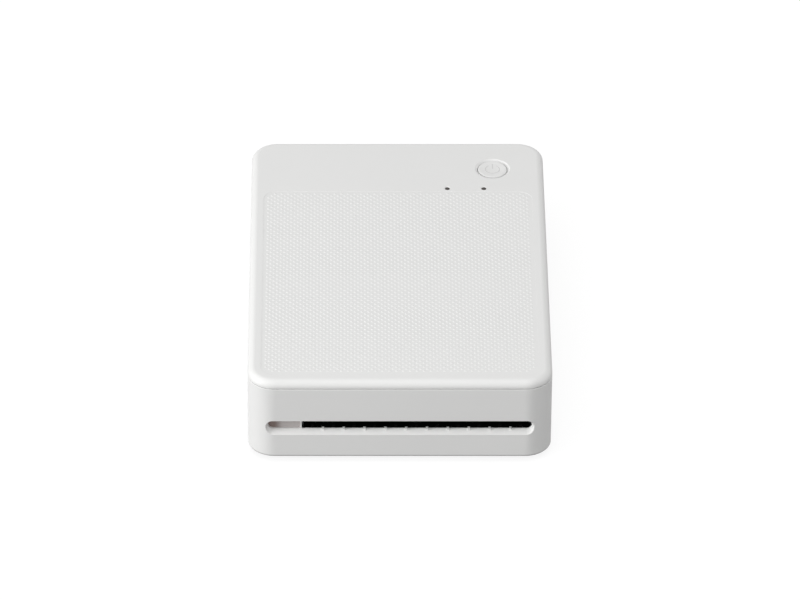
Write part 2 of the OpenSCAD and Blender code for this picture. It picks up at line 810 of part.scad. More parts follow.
module motor_screws() {
    color(steel) for (s = [-1, 1]) {
        c = motor_c + [s * 5.8, 0];
        bar(gear_plate_x - gear_plate_t - 1.6, gear_plate_x + eps, c, 0.7);
        bar(gear_plate_x, gear_plate_x + 0.5, c, 1.3);
    }
}

// Dark sill behind the slot, which the sheet leaves over
module exit_guide() {
    y0 = front_y + slot_depth + slot_lip + gap;
    y1 = exit_c[0] - tyre_r - 0.4;
    color(dark_plastic) difference() {
        union() {
            across(frame_l + 0.2, frame_r - 0.2) polygon([
                [y0, slot_z - 3], [y1, slot_z - 3.6], [y1, slot_z - 2.2], [y0, slot_z - 1.9]
            ]);
            for (i = [0 : lip_rib_count])
                block([paper_x + (i - lip_rib_count / 2) * lip_rib_pitch - 0.5, y0, slot_z - 2.4],
                      [paper_x + (i - lip_rib_count / 2) * lip_rib_pitch + 0.5, y1, slot_z - 0.9]);
        }
        bar(frame_l, frame_r, [y1 - 0.6, slot_z - 0.7], 0.5);
    }
}

// Sill between the tray and the capstan
module paper_guide() {
    y0 = capstan_c[0] + capstan_r + 0.8;
    y1 = tray_front - 0.3;
    color(dark_plastic) across(frame_l + 0.2, frame_r - 0.2) polygon([
        [y0, path_z - 1.7], [y1, path_z - 2.6], [y1, path_z - 1.4],
        [y0 + 1.5, path_z - 0.3], [y0, path_z - 0.5]
    ]);
}

// ---------------------------------------------------------------- cassette

module cassette_tube(c, inward) {
    difference() {
        bar(cass_l, cass_r, c, tube_out);
        bar(cass_l + cap_t, cass_r - cap_t, c, tube_r);
        bar(cass_l - 1, cass_r + 1, c, spool_journal + running_gap);
        // slit where the film leaves the tube
        block([film_l - 0.4, min(c[0], c[0] + inward * 8), c[1] - 2.4],
              [film_r + 0.4, max(c[0], c[0] + inward * 8), c[1] - 0.1]);
    }
}

module cassette_shell() {
    color(inner_grey) {
        cassette_tube(takeup_c, 1);
        cassette_tube(supply_c, -1);
        for (x = [cass_l, cass_r - arm_t])
            difference() {
                block([x, takeup_c[0] + 3.5, takeup_c[1] + 0.5],
                      [x + arm_t, supply_c[0] - 3.5, takeup_c[1] + 4]);
                for (c = [takeup_c, supply_c]) bar(x - 1, x + arm_t + 1, c, tube_r + 0.5);
            }
    }
}

// Film from spool to spool, under the print head
module ribbon_film() {
    leave = wound_r + 0.5;
    down = path_z + 0.4;
    top = [
        supply_c + [-leave, -0.9], [capstan_c[0] - 2.4, capstan_c[1] + 7.1],
        [head_y + 1.3, down], [head_y - 1.3, down],
        [head_y - 5.8, capstan_c[1] + 6.9], takeup_c + [leave, -0.9]
    ];
    color(film_dark) across(film_l, film_r) polygon(concat(
        top, [for (i = [len(top) - 1 : -1 : 0]) top[i] - [0, film_t]]
    ));
}

// A spool runs the whole width of its tube and turns in the tube's end caps
module spool(c, hollow) {
    difference() {
        union() {
            bar(cass_l, cass_r, c, spool_journal);
            bar(cass_l + cap_t + 0.3, cass_r - cap_t - 0.3, c, core_r);
        }
        bar(cass_l - 1, cass_l + 5, c, hollow);
        bar(cass_r - 4, cass_r + 1, c, 1.1);
    }
}

module wound_film(c) {
    difference() {
        bar(film_l, film_r, c, wound_r);
        bar(film_l - 1, film_r + 1, c, core_r + snug);
    }
}

module takeup_spool() {
    color(gear_white) spool(takeup_c, journal_r + snug);
}

module takeup_film() {
    color(film_dark) wound_film(takeup_c);
}

module supply_spool() {
    color(gear_white) spool(supply_c, 1.1);
}

module supply_film() {
    color(film_dark) wound_film(supply_c);
}

// ---------------------------------------------------------------- gears and rollers

module motor_pinion() {
    front = gear_plate_x - gear_plate_t;
    color(brass_yellow) {
        bar(front - motor_l + 2.4, gear_x + gear_w + 0.3, motor_c, 0.75);
        across(gear_x, gear_x + gear_w, motor_c) rotate(pinion_turn) polygon(gear_points(pinion_teeth));
    }
}

// Shaft through both side plates, with the gear's seat at its left end
module driven_shaft(c, r) {
    bar(gear_x - 0.5, right_out + 0.5, c, journal_r);
    bar(frame_l + roll_gap, frame_r - roll_gap, c, r);
}

module capstan_shaft() {
    color(steel) driven_shaft(capstan_c, capstan_r);
}

module capstan_gear() {
    color(gear_white) gear(capstan_c, capstan_teeth, capstan_turn, journal_r + snug);
}

module pinch_roller() {
    color(dark_plastic) {
        bar(left_out, right_out, pinch_c, pinch_journal_r);
        bar(frame_l + roll_gap, frame_r - roll_gap, pinch_c, pinch_r);
    }
}

module platen_shaft() {
    color(steel) {
        bar(left_out, right_out + 0.5, platen_c, journal_r);
        bar(frame_l + roll_gap, frame_r - roll_gap, platen_c, journal_r + 0.5);
    }
}

module platen_roller() {
    color(rubber_black) difference() {
        bar(paper_x - paper_w / 2 - 0.5, paper_x + paper_w / 2 + 0.5, platen_c, platen_r);
        bar(frame_l, frame_r, platen_c, journal_r + 0.5 + snug);
    }
}

module exit_idler() {
    color(gear_white) gear(exit_idler_c, idler_teeth, exit_idler_turn, axle_r + running_gap);
}

module exit_shaft() {
    color(steel) driven_shaft(exit_c, journal_r + 0.3);
}

// Four rubber tyres that push the sheet out, each between two ribs of the sill
module exit_tyres() {
    color(rubber_black) for (i = [-4.5, -1.5, 1.5, 4.5])
        difference() {
            bar(paper_x + i * lip_rib_pitch - 2.6, paper_x + i * lip_rib_pitch + 2.6, exit_c, tyre_r);
            bar(frame_l, frame_r, exit_c, journal_r + 0.3 + snug);
        }
}

module exit_gear() {
    color(gear_white) gear(exit_c, exit_teeth, exit_turn, journal_r + snug);
}

// Gear with a shaft that enters the take-up spool
module takeup_drive() {
    color(gear_white) {
        across(gear_x, gear_x + gear_w, takeup_c) rotate(takeup_turn) polygon(gear_points(takeup_teeth));
        bar(gear_x - 0.3, gear_x + gear_w + 0.3, takeup_c, journal_r + 0.8);
        bar(gear_x, cass_l + 4.5, takeup_c, journal_r);
    }
}

module feed_idler() {
    color(gear_white) gear(feed_idler_c, idler_teeth, feed_idler_turn, axle_r + running_gap);
}

module feed_shaft() {
    color(steel) driven_shaft(feed_c, journal_r + 0.3);
}

module feed_roller() {
    color(rubber_black) difference() {
        bar(paper_x - feed_roller_w / 2, paper_x + feed_roller_w / 2, feed_c, feed_r);
        bar(frame_l, frame_r, feed_c, journal_r + 0.3 + snug);
    }
}

module feed_gear() {
    color(gear_white) gear(feed_c, feed_teeth, feed_turn, journal_r + snug);
}

// ---------------------------------------------------------------- tray and electronics

module paper_tray() {
    color(inner_grey) difference() {
        block([tray_l, tray_front, tray_floor - tray_t], [tray_r, tray_end, tray_floor + tray_wall_h]);
        block([tray_l + tray_t, tray_front - 1, tray_floor],
              [tray_r - tray_t, tray_end - tray_t, tray_floor + tray_wall_h + 1]);
        // window for the feed roller
        block([paper_x - feed_roller_w / 2 - 1, tray_front - 1, tray_floor - tray_t - 1],
              [paper_x + feed_roller_w / 2 + 1, feed_c[0] + feed_r + 1, tray_floor + 1]);
        // finger notch in the rear wall
        translate([paper_x, tray_end - 5, tray_floor + tray_wall_h]) rotate([-90, 0, 0])
            cylinder(r = 5.5, h = 10);
        // long openings that save weight
        for (s = [-1, 1])
            block([paper_x + s * tray_slot_x - 6, feed_c[0] + 17, tray_floor - tray_t - 1],
                  [paper_x + s * tray_slot_x + 6, tray_end - 14, tray_floor + 1]);
    }
}

module paper_stack() {
    color(paper_white) block(
        [paper_x - paper_w / 2, stack_front, tray_floor],
        [paper_x + paper_w / 2, stack_front + paper_l, tray_floor + stack_h]
    );
}

module battery_pack() {
    color(dark_plastic) translate([battery_at[0] + battery_size[0] / 2,
                                   battery_at[1] + battery_size[1] / 2, 0])
        slab(battery_size[0], battery_size[1], 2, floor_z, floor_z + battery_size[2]);
}

module main_board() {
    top = board_z + board_t;
    color(board_green) {
        difference() {
            union() {
                block([board_l, board_front, board_z], [board_r, in_rear - 20, top]);
                block([usb_x - 10, in_rear - 21, board_z], [board_r, in_rear - 3.5, top]);
            }
            for (p = board_posts) post(p, board_z - 1, top + 1, screw_r + 0.1);
        }
        // chips, plugs and a shield can: place as a share of the board, then size
        for (c = [[0.23, 0.29, 12, 12, 1.4], [0.26, 0.6, 8, 8, 1.0], [0.68, 0.16, 7, 10, 2.4],
                  [0.65, 0.45, 8, 20, 1.8], [0.05, 0.22, 3, 20, 2.6]])
            translate([board_l + c[0] * (board_r - board_l),
                       board_front + c[1] * (in_rear - 20 - board_front), top - eps])
                cube([c[2], c[3], c[4]]);
        for (i = [0 : 5])
            block([board_l + 8 + 2.4 * i, in_rear - 32.4, top - eps],
                  [board_l + 9.4 + 2.4 * i, in_rear - 30.9, top + 0.7]);
    }
}

module board_screws() {
    color(zinc) for (p = board_posts) screw(p, board_z + board_t, -1, board_t + 2.2);
}

// Charging socket: an open steel shell with its tongue
module usb_socket() {
    y1 = rear_y - 1;
    y0 = y1 - usb_l;
    color(steel) {
        difference() {
            socket_form(usb_h / 2, y0, y1);
            socket_form(usb_h / 2 - 0.3, y0 + 1, y1 + 1);
        }
        block([usb_x - 3.3, y0 + 0.5, usb_z - 0.35], [usb_x + 3.3, y1 - 1, usb_z + 0.35]);
    }
}

module socket_form(r, y0, y1) {
    span = (usb_w - usb_h) / 2;
    block([usb_x - span, y0, usb_z - r], [usb_x + span, y1, usb_z + r]);
    for (s = [-1, 1])
        translate([usb_x + s * span, y0, usb_z]) rotate([-90, 0, 0]) cylinder(r = r, h = y1 - y0);
}

// ---------------------------------------------------------------- cover

// Room for a hinge ear and its neck through the cover's whole swing
module ear_pocket(x) {
    half = ear_w / 2 + gap;
    bar(x - half, x + half, [hinge_y, hinge_z], ear_r + gap);
    block([x - half, hinge_y - 1.2 - gap, hinge_z - 4], [x + half, rear_y + 1, hinge_z + 1.4]);
}

module top_cover() {
    skirt_x = in_x - gap;
    skirt_front = in_front + gap;
    color(shell_white) difference() {
        union() {
            difference() {
                soft_block(body_w, body_d, corner_r, part_z, body_h, 0, top_round);
                intersection() {
                    slab(body_w - 2 * wall, body_d - 2 * wall, corner_r - wall, part_z - 1, cover_under);
                    block([-body_w, -body_d, 0], [body_w, hinge_y - 1.2, body_h]);
                }
            }
            // bead along the hinge line, cut to the body's outer form
            intersection() {
                bar(-bead_half, bead_half, [hinge_y, hinge_z], bead_r);
                soft_block(body_w, body_d, corner_r, part_z - 4, body_h, 0, top_round);
            }
            // skirt inside the housing's front and side walls
            for (s = [-1, 1])
                block([s * skirt_x - (s > 0 ? skirt_t : 0), front_y + corner_r, skirt_low],
                      [s * skirt_x + (s < 0 ? skirt_t : 0), hinge_y - 7, cover_under + eps]);
            block([-body_w / 2 + corner_r, skirt_front, skirt_low],
                  [body_w / 2 - corner_r, skirt_front + skirt_t, cover_under + eps]);
            for (p = inner_screws) post(p, plate_hi, cover_under + eps, 2.2);
            // tube that guides the power button
            post([button_x, button_y], plate_hi + 0.4, cover_under + eps, button_r + 2.4);
        }
        for (s = [-1, 1]) {
            ear_pocket(s * ear_x);
            bar(s * ear_x - pin_half, s * ear_x + pin_half, [hinge_y, hinge_z], pin_r + snug);
        }
        for (p = inner_screws) post(p, plate_hi - 1, cover_under + 0.6, screw_r + snug);
        post([button_x, button_y], plate_hi - 1, cover_under, button_r + 1.4);
        post([button_x, button_y], plate_hi, body_h + 1, button_r + 0.2);
        // dished ring around the power button
        translate([button_x, button_y, body_h - 0.5])
            cylinder(r1 = button_r + 0.35, r2 = button_r + 1.05, h = 0.51);
        for (dx = pipe_offset) {
            post([button_x - dx, button_y - pipe_front], plate_hi, body_h + 1, pipe_r + running_gap);
            translate([button_x - dx, button_y - pipe_front, body_h - 0.2])
                cylinder(r1 = pipe_r + running_gap, r2 = pipe_r + 0.3, h = 0.2 + eps);
        }
        // field that carries the fine dots
        translate([0, (front_y + dots_in + rear_y - plain_l) / 2, 0])
            slab(body_w - 2 * dots_in, body_d - dots_in - plain_l, corner_r - dots_in,
                 body_h - dots_depth, body_h + 1);
    }
}

module hinge_pins() {
    color(steel) for (s = [-1, 1])
        bar(s * ear_x - pin_half + 0.1, s * ear_x + pin_half - 0.1, [hinge_y, hinge_z], pin_r);
}

// Plate under the cover, with a well for the button's board
module cover_inner_plate() {
    color(inner_grey) difference() {
        union() {
            block([-plate_x, plate_front, plate_lo], [plate_x, plate_rear, plate_hi]);
            block([well_left, well_front, well_low], [well_right, well_rear, plate_hi]);
            for (x = [well_left + 4, well_right - 4], y = [well_front + 4, well_rear - 3])
                post([x, y], well_low, button_pcb_z, 1.6);
        }
        difference() {
            block([well_left + well_wall, well_front + well_wall, well_low + 1],
                  [well_right - well_wall, well_rear - well_wall, plate_hi + 1]);
            for (x = [well_left + 4, well_right - 4], y = [well_front + 4, well_rear - 3])
                post([x, y], well_low, button_pcb_z, 1.6);
        }
        for (p = inner_screws) post(p, plate_lo - 1, plate_hi + 1, screw_r + 0.1);
        for (x = head_studs) post([x, head_y], plate_lo - 1, plate_hi + 1, stud_r + gap);
        for (p = press_studs) post(p, plate_lo - 1, plate_hi + 1, stud_r + gap);
        // rounded front corners
        for (s = [-1, 1])
            translate([s * plate_x, plate_front, plate_lo - 1]) rotate([0, 0, 45])
                cube([8, 8, 10], center = true);
    }
}

module inner_plate_screws() {
    color(zinc) for (p = inner_screws) screw(p, plate_lo, 1, 3.2);
}

// Board with the power switch and the two lamps
module button_board() {
    color(board_green) {
        block([well_left + well_wall + 0.4, well_front + well_wall + 0.4, button_pcb_z],
              [well_right - well_wall - 0.4, well_rear - well_wall - 0.4, button_pcb_z + pcb_t]);
        block([button_x - 3, button_y - 3, button_pcb_z + pcb_t - eps],
              [button_x + 3, button_y + 3, button_pcb_z + pcb_t + 0.7]);
        post([button_x, button_y], button_pcb_z + pcb_t, plunger_z, 1.6);
        for (dx = pipe_offset)
            translate([button_x - dx - 0.8, button_y - pipe_front - 0.5, button_pcb_z + pcb_t - eps])
                cube([1.6, 1, 0.5]);
        block([well_left + 6, well_rear - 8, button_pcb_z + pcb_t - eps],
              [well_left + 12, well_rear - 4, button_pcb_z + pcb_t + 1.1]);
    }
}

module light_pipes() {
    color("#D8DADB") for (dx = pipe_offset) {
        at = [button_x - dx, button_y - pipe_front];
        post(at, button_pcb_z + pcb_t + 0.7, body_h - 0.25, pipe_r);
        post(at, cover_under - 1, cover_under, pipe_r + 0.7);
    }
}

// Hook that the release slide's nose holds
module cover_keeper() {
    color(dark_plastic) across(keeper_x, keeper_x + keeper_t) polygon([
        [keeper_y, plate_lo], [keeper_y - keeper_l, plate_lo],
        [keeper_y - keeper_l, nose_z - 1.6], [keeper_y - 1, nose_z - 1.6],
        [keeper_y, nose_z - 0.8], [keeper_y, nose_z - 0.2],
        [keeper_y - 1.4, nose_z - 0.2], [keeper_y - 1.4, nose_z + 2.2], [keeper_y, nose_z + 3]
    ]);
}

// Steel bracket that hangs from the cover's inner plate on two studs
module head_bracket() {
    low = sink_top;
    color(steel) {
        block([head_l, head_y - 4.2, low], [head_r_x, head_y + 3, low + bracket_t]);
        block([head_l, head_y + 2, low - 3], [head_l + 8, head_y + 3, low + eps]);
        block([head_r_x - 8, head_y + 2, low - 3], [head_r_x, head_y + 3, low + eps]);
        for (x = head_studs) {
            post([x, head_y], low + bracket_t - eps, plate_hi + 0.3, stud_r);
            post([x, head_y], plate_hi + 0.2, plate_hi + 0.8, stud_r + 0.8);
        }
    }
}

// Extruded heat sink with grooves in its front and top
module head_heatsink() {
    color("#A9ADB0") difference() {
        block([head_l, head_y - 4.4, sink_z], [head_r_x, head_y + 1.9, sink_top]);
        for (i = [0 : 2]) {
            z = sink_z + 1.2 + 1.6 * i;
            block([head_l - 1, head_y - 5, z], [head_r_x + 1, head_y - 2.6, z + 0.8]);
        }
    }
}

// Ceramic strip with its raised heating line
module thermal_head() {
    color("#5D4A3A") {
        block([head_l, head_y - 2.8, ceramic_z], [head_r_x, head_y + 1.9, sink_z]);
        across(head_l, head_r_x) polygon([
            [head_y - 1.4, ceramic_z + eps], [head_y - 0.7, nub_z + 0.2], [head_y - 0.3, nub_z],
            [head_y + 0.3, nub_z], [head_y + 0.7, nub_z + 0.2], [head_y + 1.4, ceramic_z + eps]
        ]);
    }
}

module head_springs() {
    color(steel) for (x = head_studs)
        coil([x, head_y], sink_top + bracket_t, plate_lo, spring_r, wire_r);
}

// Plate that presses the stack of sheets on the feed roller
module paper_press_plate() {
    color(inner_grey) {
        difference() {
            block([press_l, press_front, press_low], [press_r, press_rear, press_low + 1]);
            for (s = [-1, 1])
                block([paper_x + s * 15 - 5, press_front + 22, press_low - 1],
                      [paper_x + s * 15 + 5, press_rear - 6, press_low + 2]);
        }
        for (x = [press_l, press_r - 1])
            block([x, press_front, press_low], [x + 1, press_rear, press_low + 3]);
        for (p = press_studs) {
            post(p, press_low, plate_hi + 0.3, stud_r);
            post(p, plate_hi + 0.2, plate_hi + 0.8, stud_r + 0.8);
        }
    }
}

module press_springs() {
    color(steel) for (p = press_studs) coil(p, press_low + 1, plate_lo, spring_r, wire_r);
}

// ---------------------------------------------------------------- controls

module power_button() {
    collar_low = collar_top - collar_t;
    stem_low = plunger_z + button_travel + 0.05;
    color(shell_white) translate([button_x, button_y, 0]) difference() {
        union() {
            translate([0, 0, collar_low]) cylinder(r = button_r, h = cap_top - cap_edge - collar_low);
            translate([0, 0, cap_top - cap_edge - eps])
                cylinder(r1 = button_r, r2 = button_r - cap_edge, h = cap_edge + eps);
            translate([0, 0, collar_low]) cylinder(r = button_r + 1.1, h = collar_t);
            translate([0, 0, stem_low]) cylinder(r = 1.6, h = collar_low + 0.1 - stem_low);
        }
        // finger dish
        translate([0, 0, cap_top - dish_depth + dish_r]) sphere(r = dish_r, $fn = 128);
    }
}

module release_switch() {
    color(shell_white) {
        difference() {
            block([slide_x, knob_front, knob_z], [knob_out, knob_front + knob_l, knob_z + knob_h]);
            // grip grooves
            for (i = [0 : 4])
                block([knob_out - 0.5, knob_front + 1.1 + 1.8 * i, knob_z - 1],
                      [knob_out + 1, knob_front + 1.9 + 1.8 * i, knob_z + knob_h + 1]);
        }
        block([slide_x, slide_front, slide_low], [slide_x + slide_t, slide_front + slide_l, slide_hi]);
        // nose that holds the cover's hook
        block([keeper_x, keeper_y + gap, nose_z], [slide_x + slide_t, slide_front + 3, nose_z + 1.8]);
    }
}

lower_housing();
bottom_plate();
rubber_feet();
bottom_screws();
left_side_plate();
right_side_plate();
gear_plate();
frame_screws();
bushes();
idler_axles();
motor();
motor_screws();
exit_guide();
paper_guide();
cassette_shell();
ribbon_film();
paper_tray();
paper_stack();
battery_pack();
main_board();
board_screws();
usb_socket();
top_cover();
hinge_pins();
cover_inner_plate();
inner_plate_screws();
button_board();
light_pipes();
cover_keeper();
head_bracket();
head_heatsink();
thermal_head();
head_springs();
paper_press_plate();
press_springs();
power_button();
release_switch();
motor_pinion();
capstan_shaft();
capstan_gear();
pinch_roller();
platen_shaft();
platen_roller();
exit_idler();
exit_shaft();
exit_tyres();
exit_gear();
takeup_drive();
takeup_spool();
takeup_film();
supply_spool();
supply_film();
feed_idler();
feed_shaft();
feed_roller();
feed_gear();
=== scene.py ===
import math

import bpy
import numpy as np
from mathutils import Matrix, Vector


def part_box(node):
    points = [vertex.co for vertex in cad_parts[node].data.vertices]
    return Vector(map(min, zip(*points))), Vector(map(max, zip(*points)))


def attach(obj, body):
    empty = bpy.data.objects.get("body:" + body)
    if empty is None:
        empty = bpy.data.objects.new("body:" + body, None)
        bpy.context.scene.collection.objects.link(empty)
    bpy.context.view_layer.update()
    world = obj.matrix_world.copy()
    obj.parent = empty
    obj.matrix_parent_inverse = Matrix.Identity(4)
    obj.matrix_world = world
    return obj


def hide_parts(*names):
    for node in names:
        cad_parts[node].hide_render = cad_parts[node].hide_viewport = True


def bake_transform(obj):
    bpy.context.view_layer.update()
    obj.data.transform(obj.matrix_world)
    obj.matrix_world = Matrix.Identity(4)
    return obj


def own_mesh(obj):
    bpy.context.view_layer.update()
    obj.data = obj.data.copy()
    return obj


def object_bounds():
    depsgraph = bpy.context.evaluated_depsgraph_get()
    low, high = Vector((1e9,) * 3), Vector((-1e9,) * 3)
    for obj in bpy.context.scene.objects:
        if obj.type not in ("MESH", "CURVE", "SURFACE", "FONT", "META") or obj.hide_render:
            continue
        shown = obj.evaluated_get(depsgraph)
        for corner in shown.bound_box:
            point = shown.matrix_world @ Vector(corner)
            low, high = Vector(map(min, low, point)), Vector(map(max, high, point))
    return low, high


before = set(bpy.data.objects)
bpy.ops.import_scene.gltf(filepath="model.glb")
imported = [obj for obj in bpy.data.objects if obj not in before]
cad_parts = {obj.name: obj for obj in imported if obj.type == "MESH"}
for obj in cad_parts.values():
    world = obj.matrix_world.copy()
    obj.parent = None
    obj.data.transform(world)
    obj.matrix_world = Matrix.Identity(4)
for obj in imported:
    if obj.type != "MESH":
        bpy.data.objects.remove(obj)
cad_low, cad_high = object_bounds()

# Compact photo printer: the looks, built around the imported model. Lengths are written in
# millimetres and turned into metres by MM. X to the right seen from the front, Y to the
# rear, Z up, origin on the ground under the middle of the body.
MM = 0.001


# ------------------------------------------------------------------ camera
# The photograph was taken with a long lens from in front, a little to the left, looking
# down at the printer. The frame is shifted sideways, so that the body's sides stay even.

CAMERA_AT = (-19.1, -1831.4, 1293.2)
CAMERA_DOWN = 34.9                               # degrees below level

camera_data = bpy.data.cameras.new("camera")
camera_data.sensor_width = 36.0
camera_data.lens = 291.5
camera_data.shift_x = 0.07125
camera_data.clip_end = 20.0
camera = bpy.data.objects.new("camera", camera_data)
camera.location = [c * MM for c in CAMERA_AT]
camera.rotation_euler = (math.radians(90 - CAMERA_DOWN), 0.0, 0.0)
bpy.context.scene.collection.objects.link(camera)
bpy.context.scene.camera = camera
bpy.context.scene.view_settings.view_transform = "Standard"


# ------------------------------------------------------------------ white casing
# The housing, the cover, the base plate, the power button and the release knob are
# injection-moulded ABS. The mould is spark-eroded, so the skin has a fine even grain
# that takes the shine off, with a faint flow of tone over the large faces.


def linear(code):
    """sRGB hex to linear: c / 12.92 up to 0.04045, ((c + 0.055) / 1.055) ** 2.4 above it."""
    c = np.array([int(code[i:i + 2], 16) / 255 for i in (1, 3, 5)])
    flat = np.where(c <= 0.04045, c / 12.92, ((c + 0.055) / 1.055) ** 2.4)
    return (*flat.tolist(), 1.0)


def add(tree, kind, inputs, **settings):
    """Adds one node; inputs maps a socket's name or number to a value or to a socket."""
    node = tree.nodes.new(kind)
    for key, value in settings.items():
        setattr(node, key, value)
    for key, value in inputs.items():
        if isinstance(value, bpy.types.NodeSocket):
            tree.links.new(value, node.inputs[key])
        else:
            node.inputs[key].default_value = value
    return node


def surface(name, tone, shade, drift, grain, depth, low, high, stretch=(1, 1, 1), **shell):
    """One material: the colour drifts from tone to shade over drift mm; the skin's grain
    is grain mm wide and depth mm deep, and roughness runs from low to high with it.
    stretch divides the grain's frequency along X, Y and Z; shell sets shader sockets."""
    material = bpy.data.materials.new(name)
    material.use_nodes = True
    tree = material.node_tree
    tree.nodes.clear()
    place = add(tree, "ShaderNodeTexCoord", {}).outputs["Object"]
    flow = add(tree, "ShaderNodeTexNoise", {"Vector": place, "Scale": 1 / (drift * MM),
                                            "Detail": 3.0})
    colour = add(tree, "ShaderNodeMix", {0: flow.outputs["Fac"], 6: linear(tone),
                                         7: linear(shade)}, data_type="RGBA")
    drawn = add(tree, "ShaderNodeMapping", {"Vector": place,
                                            "Scale": tuple(1 / s for s in stretch)})
    skin = add(tree, "ShaderNodeTexNoise", {"Vector": drawn.outputs[0], "Scale": 1 / (grain * MM),
                                            "Detail": 2.0})
    rough = add(tree, "ShaderNodeMapRange", {"Value": skin.outputs["Fac"], 1: 0.3, 2: 0.7,
                                             3: low, 4: high})
    bump = add(tree, "ShaderNodeBump", {"Height": skin.outputs["Fac"], "Strength": 1.0,
                                        "Distance": depth * MM})
    sockets = {"Base Color": colour.outputs[2], "Roughness": rough.outputs[0],
               "Normal": bump.outputs[0]}
    sockets.update({key.replace("_", " "): value for key, value in shell.items()})
    shader = add(tree, "ShaderNodeBsdfPrincipled", sockets)
    add(tree, "ShaderNodeOutputMaterial", {"Surface": shader.outputs[0]})
    return material


def wear(material, *nodes):
    """Puts one material on every face of these CAD nodes."""
    for node in nodes:
        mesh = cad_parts[node].data
        mesh.materials.clear()
        mesh.materials.append(material)


def in_mm(corners):
    """Lowest and highest corner in mm, to four places; Blender gives them in metres."""
    return np.round(np.array(corners) / MM, 4).tolist()


def base_colour(material):
    """Gives a material's tree, its shader, what feeds its base colour, and its coordinates."""
    tree = material.node_tree
    shader = next(n for n in tree.nodes if n.type == "BSDF_PRINCIPLED")
    place = next(n for n in tree.nodes if n.type == "TEX_COORD").outputs["Object"]
    return tree, shader, shader.inputs["Base Color"].links[0].from_socket, place


white_abs = surface("abs_fine_grain_white", "#E6E6E5", "#E3E3E2", 40, 0.35, 0.004, 0.42, 0.58,
                    IOR=1.53)

# Painted shade: the housing's rounded bottom edge faces down into the shaded gap under the body,
# and a darker band is painted into its colour there. The base plate ends just below the edge and
# keeps its plain colour.
LOW_EDGE = in_mm(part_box("lower_housing"))[0][2]
EDGE_SHADE_H, EDGE_SHADE_GAP = 1.1, 0.03                   # above the edge: the painted shade's end and start
tree, shader, plain_colour, place = base_colour(white_abs)
height = add(tree, "ShaderNodeSeparateXYZ", {0: place}).outputs["Z"]
edge_shade_ramp = add(tree, "ShaderNodeMapRange", {"Value": height, 1: LOW_EDGE * MM,
                                          2: (LOW_EDGE + EDGE_SHADE_H) * MM, 3: 1.0, 4: 0.0},
             interpolation_type="SMOOTHSTEP")
above = add(tree, "ShaderNodeMath", {0: height, 1: (LOW_EDGE + EDGE_SHADE_GAP) * MM},
            operation="GREATER_THAN")
painted_edge_shade = add(tree, "ShaderNodeMath", {0: edge_shade_ramp.outputs[0], 1: above.outputs[0]},
              operation="MULTIPLY")
# Painted shade: the bottom edge's colour is blended towards this darker grey.
edge_shaded = add(tree, "ShaderNodeMix", {0: painted_edge_shade.outputs[0], 6: plain_colour, 7: linear("#8F8D8B")},
            data_type="RGBA")
tree.links.new(edge_shaded.outputs[2], shader.inputs["Base Color"])
wear(white_abs, "lower_housing", "top_cover", "bottom_plate", "power_button", "release_switch")


# ------------------------------------------------------------------ dots on the cover
# The cover's top carries a staggered field of shallow round dots, moulded with it. The mould is
# polished in the dots' hollows only, so they are smoother; their colour is a touch lighter than the
# cover's.
# They stand in the shallow field that the cover's solid has, just below its top face.

body_low, body_high = in_mm((cad_low, cad_high))
HALF_W, FRONT_Y, TOP_Z = body_high[0], body_low[1], body_high[2]
FIELD_X, FIELD_FRONT, FIELD_REAR = HALF_W - 5.8, FRONT_Y + 5.5, 40.7
FIELD_CORNER, FIELD_Z = 4.2, TOP_Z - 0.08        # corner radius of the field, its floor
DOT_PITCH, DOT_R, DOT_H, DOT_SUNK = 1.153, 0.5, 0.065, 0.02


def form(name, points, faces, material, slot, sharp):
    """Makes one mesh from points in mm, smooth below the angle sharp."""
    mesh = bpy.data.meshes.new(name)
    mesh.from_pydata((np.asarray(points, float) * MM).tolist(), [], faces)
    mesh.shade_smooth()
    mesh.set_sharp_from_angle(angle=math.radians(sharp))
    mesh.materials.append(material)
    thing = bpy.data.objects.new(name, mesh)
    bpy.context.scene.collection.objects.link(thing)
    return thing


def piece(name, points, faces, material, body, slot, sharp=35):
    """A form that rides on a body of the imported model."""
    thing = form(name, points, faces, material, slot, sharp)
    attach(thing, body)
    return thing


def repeat(points, faces, places):
    """Copies one small closed form to every place: point i of copy k is p[i] + place[k]."""
    points, places = np.asarray(points, float), np.asarray(places, float)
    count = len(points)
    everywhere = (places[:, None, :] + points[None, :, :]).reshape(-1, 3)
    return everywhere, [[i + k * count for i in face]
                        for k in range(len(places)) for face in faces]


def dome(radius, height, sides, sunk):
    """Low round dome: a foot ring sunk below z 0, a shoulder ring at 0.78 of the radius
    and 0.85 of the height, a crown point, and a closed underside."""
    turn = np.arange(sides) * 2 * math.pi / sides
    ring = np.stack([np.cos(turn), np.sin(turn), np.zeros(sides)], 1)
    points = np.vstack([ring * radius - [0, 0, sunk],
                        ring * radius * 0.78 + [0, 0, height * 0.85], [[0, 0, height]]])
    wall = [[i, (i + 1) % sides, sides + (i + 1) % sides, sides + i] for i in range(sides)]
    crown = [[sides + i, sides + (i + 1) % sides, 2 * sides] for i in range(sides)]
    return points, wall + crown + [list(range(sides))[::-1]]


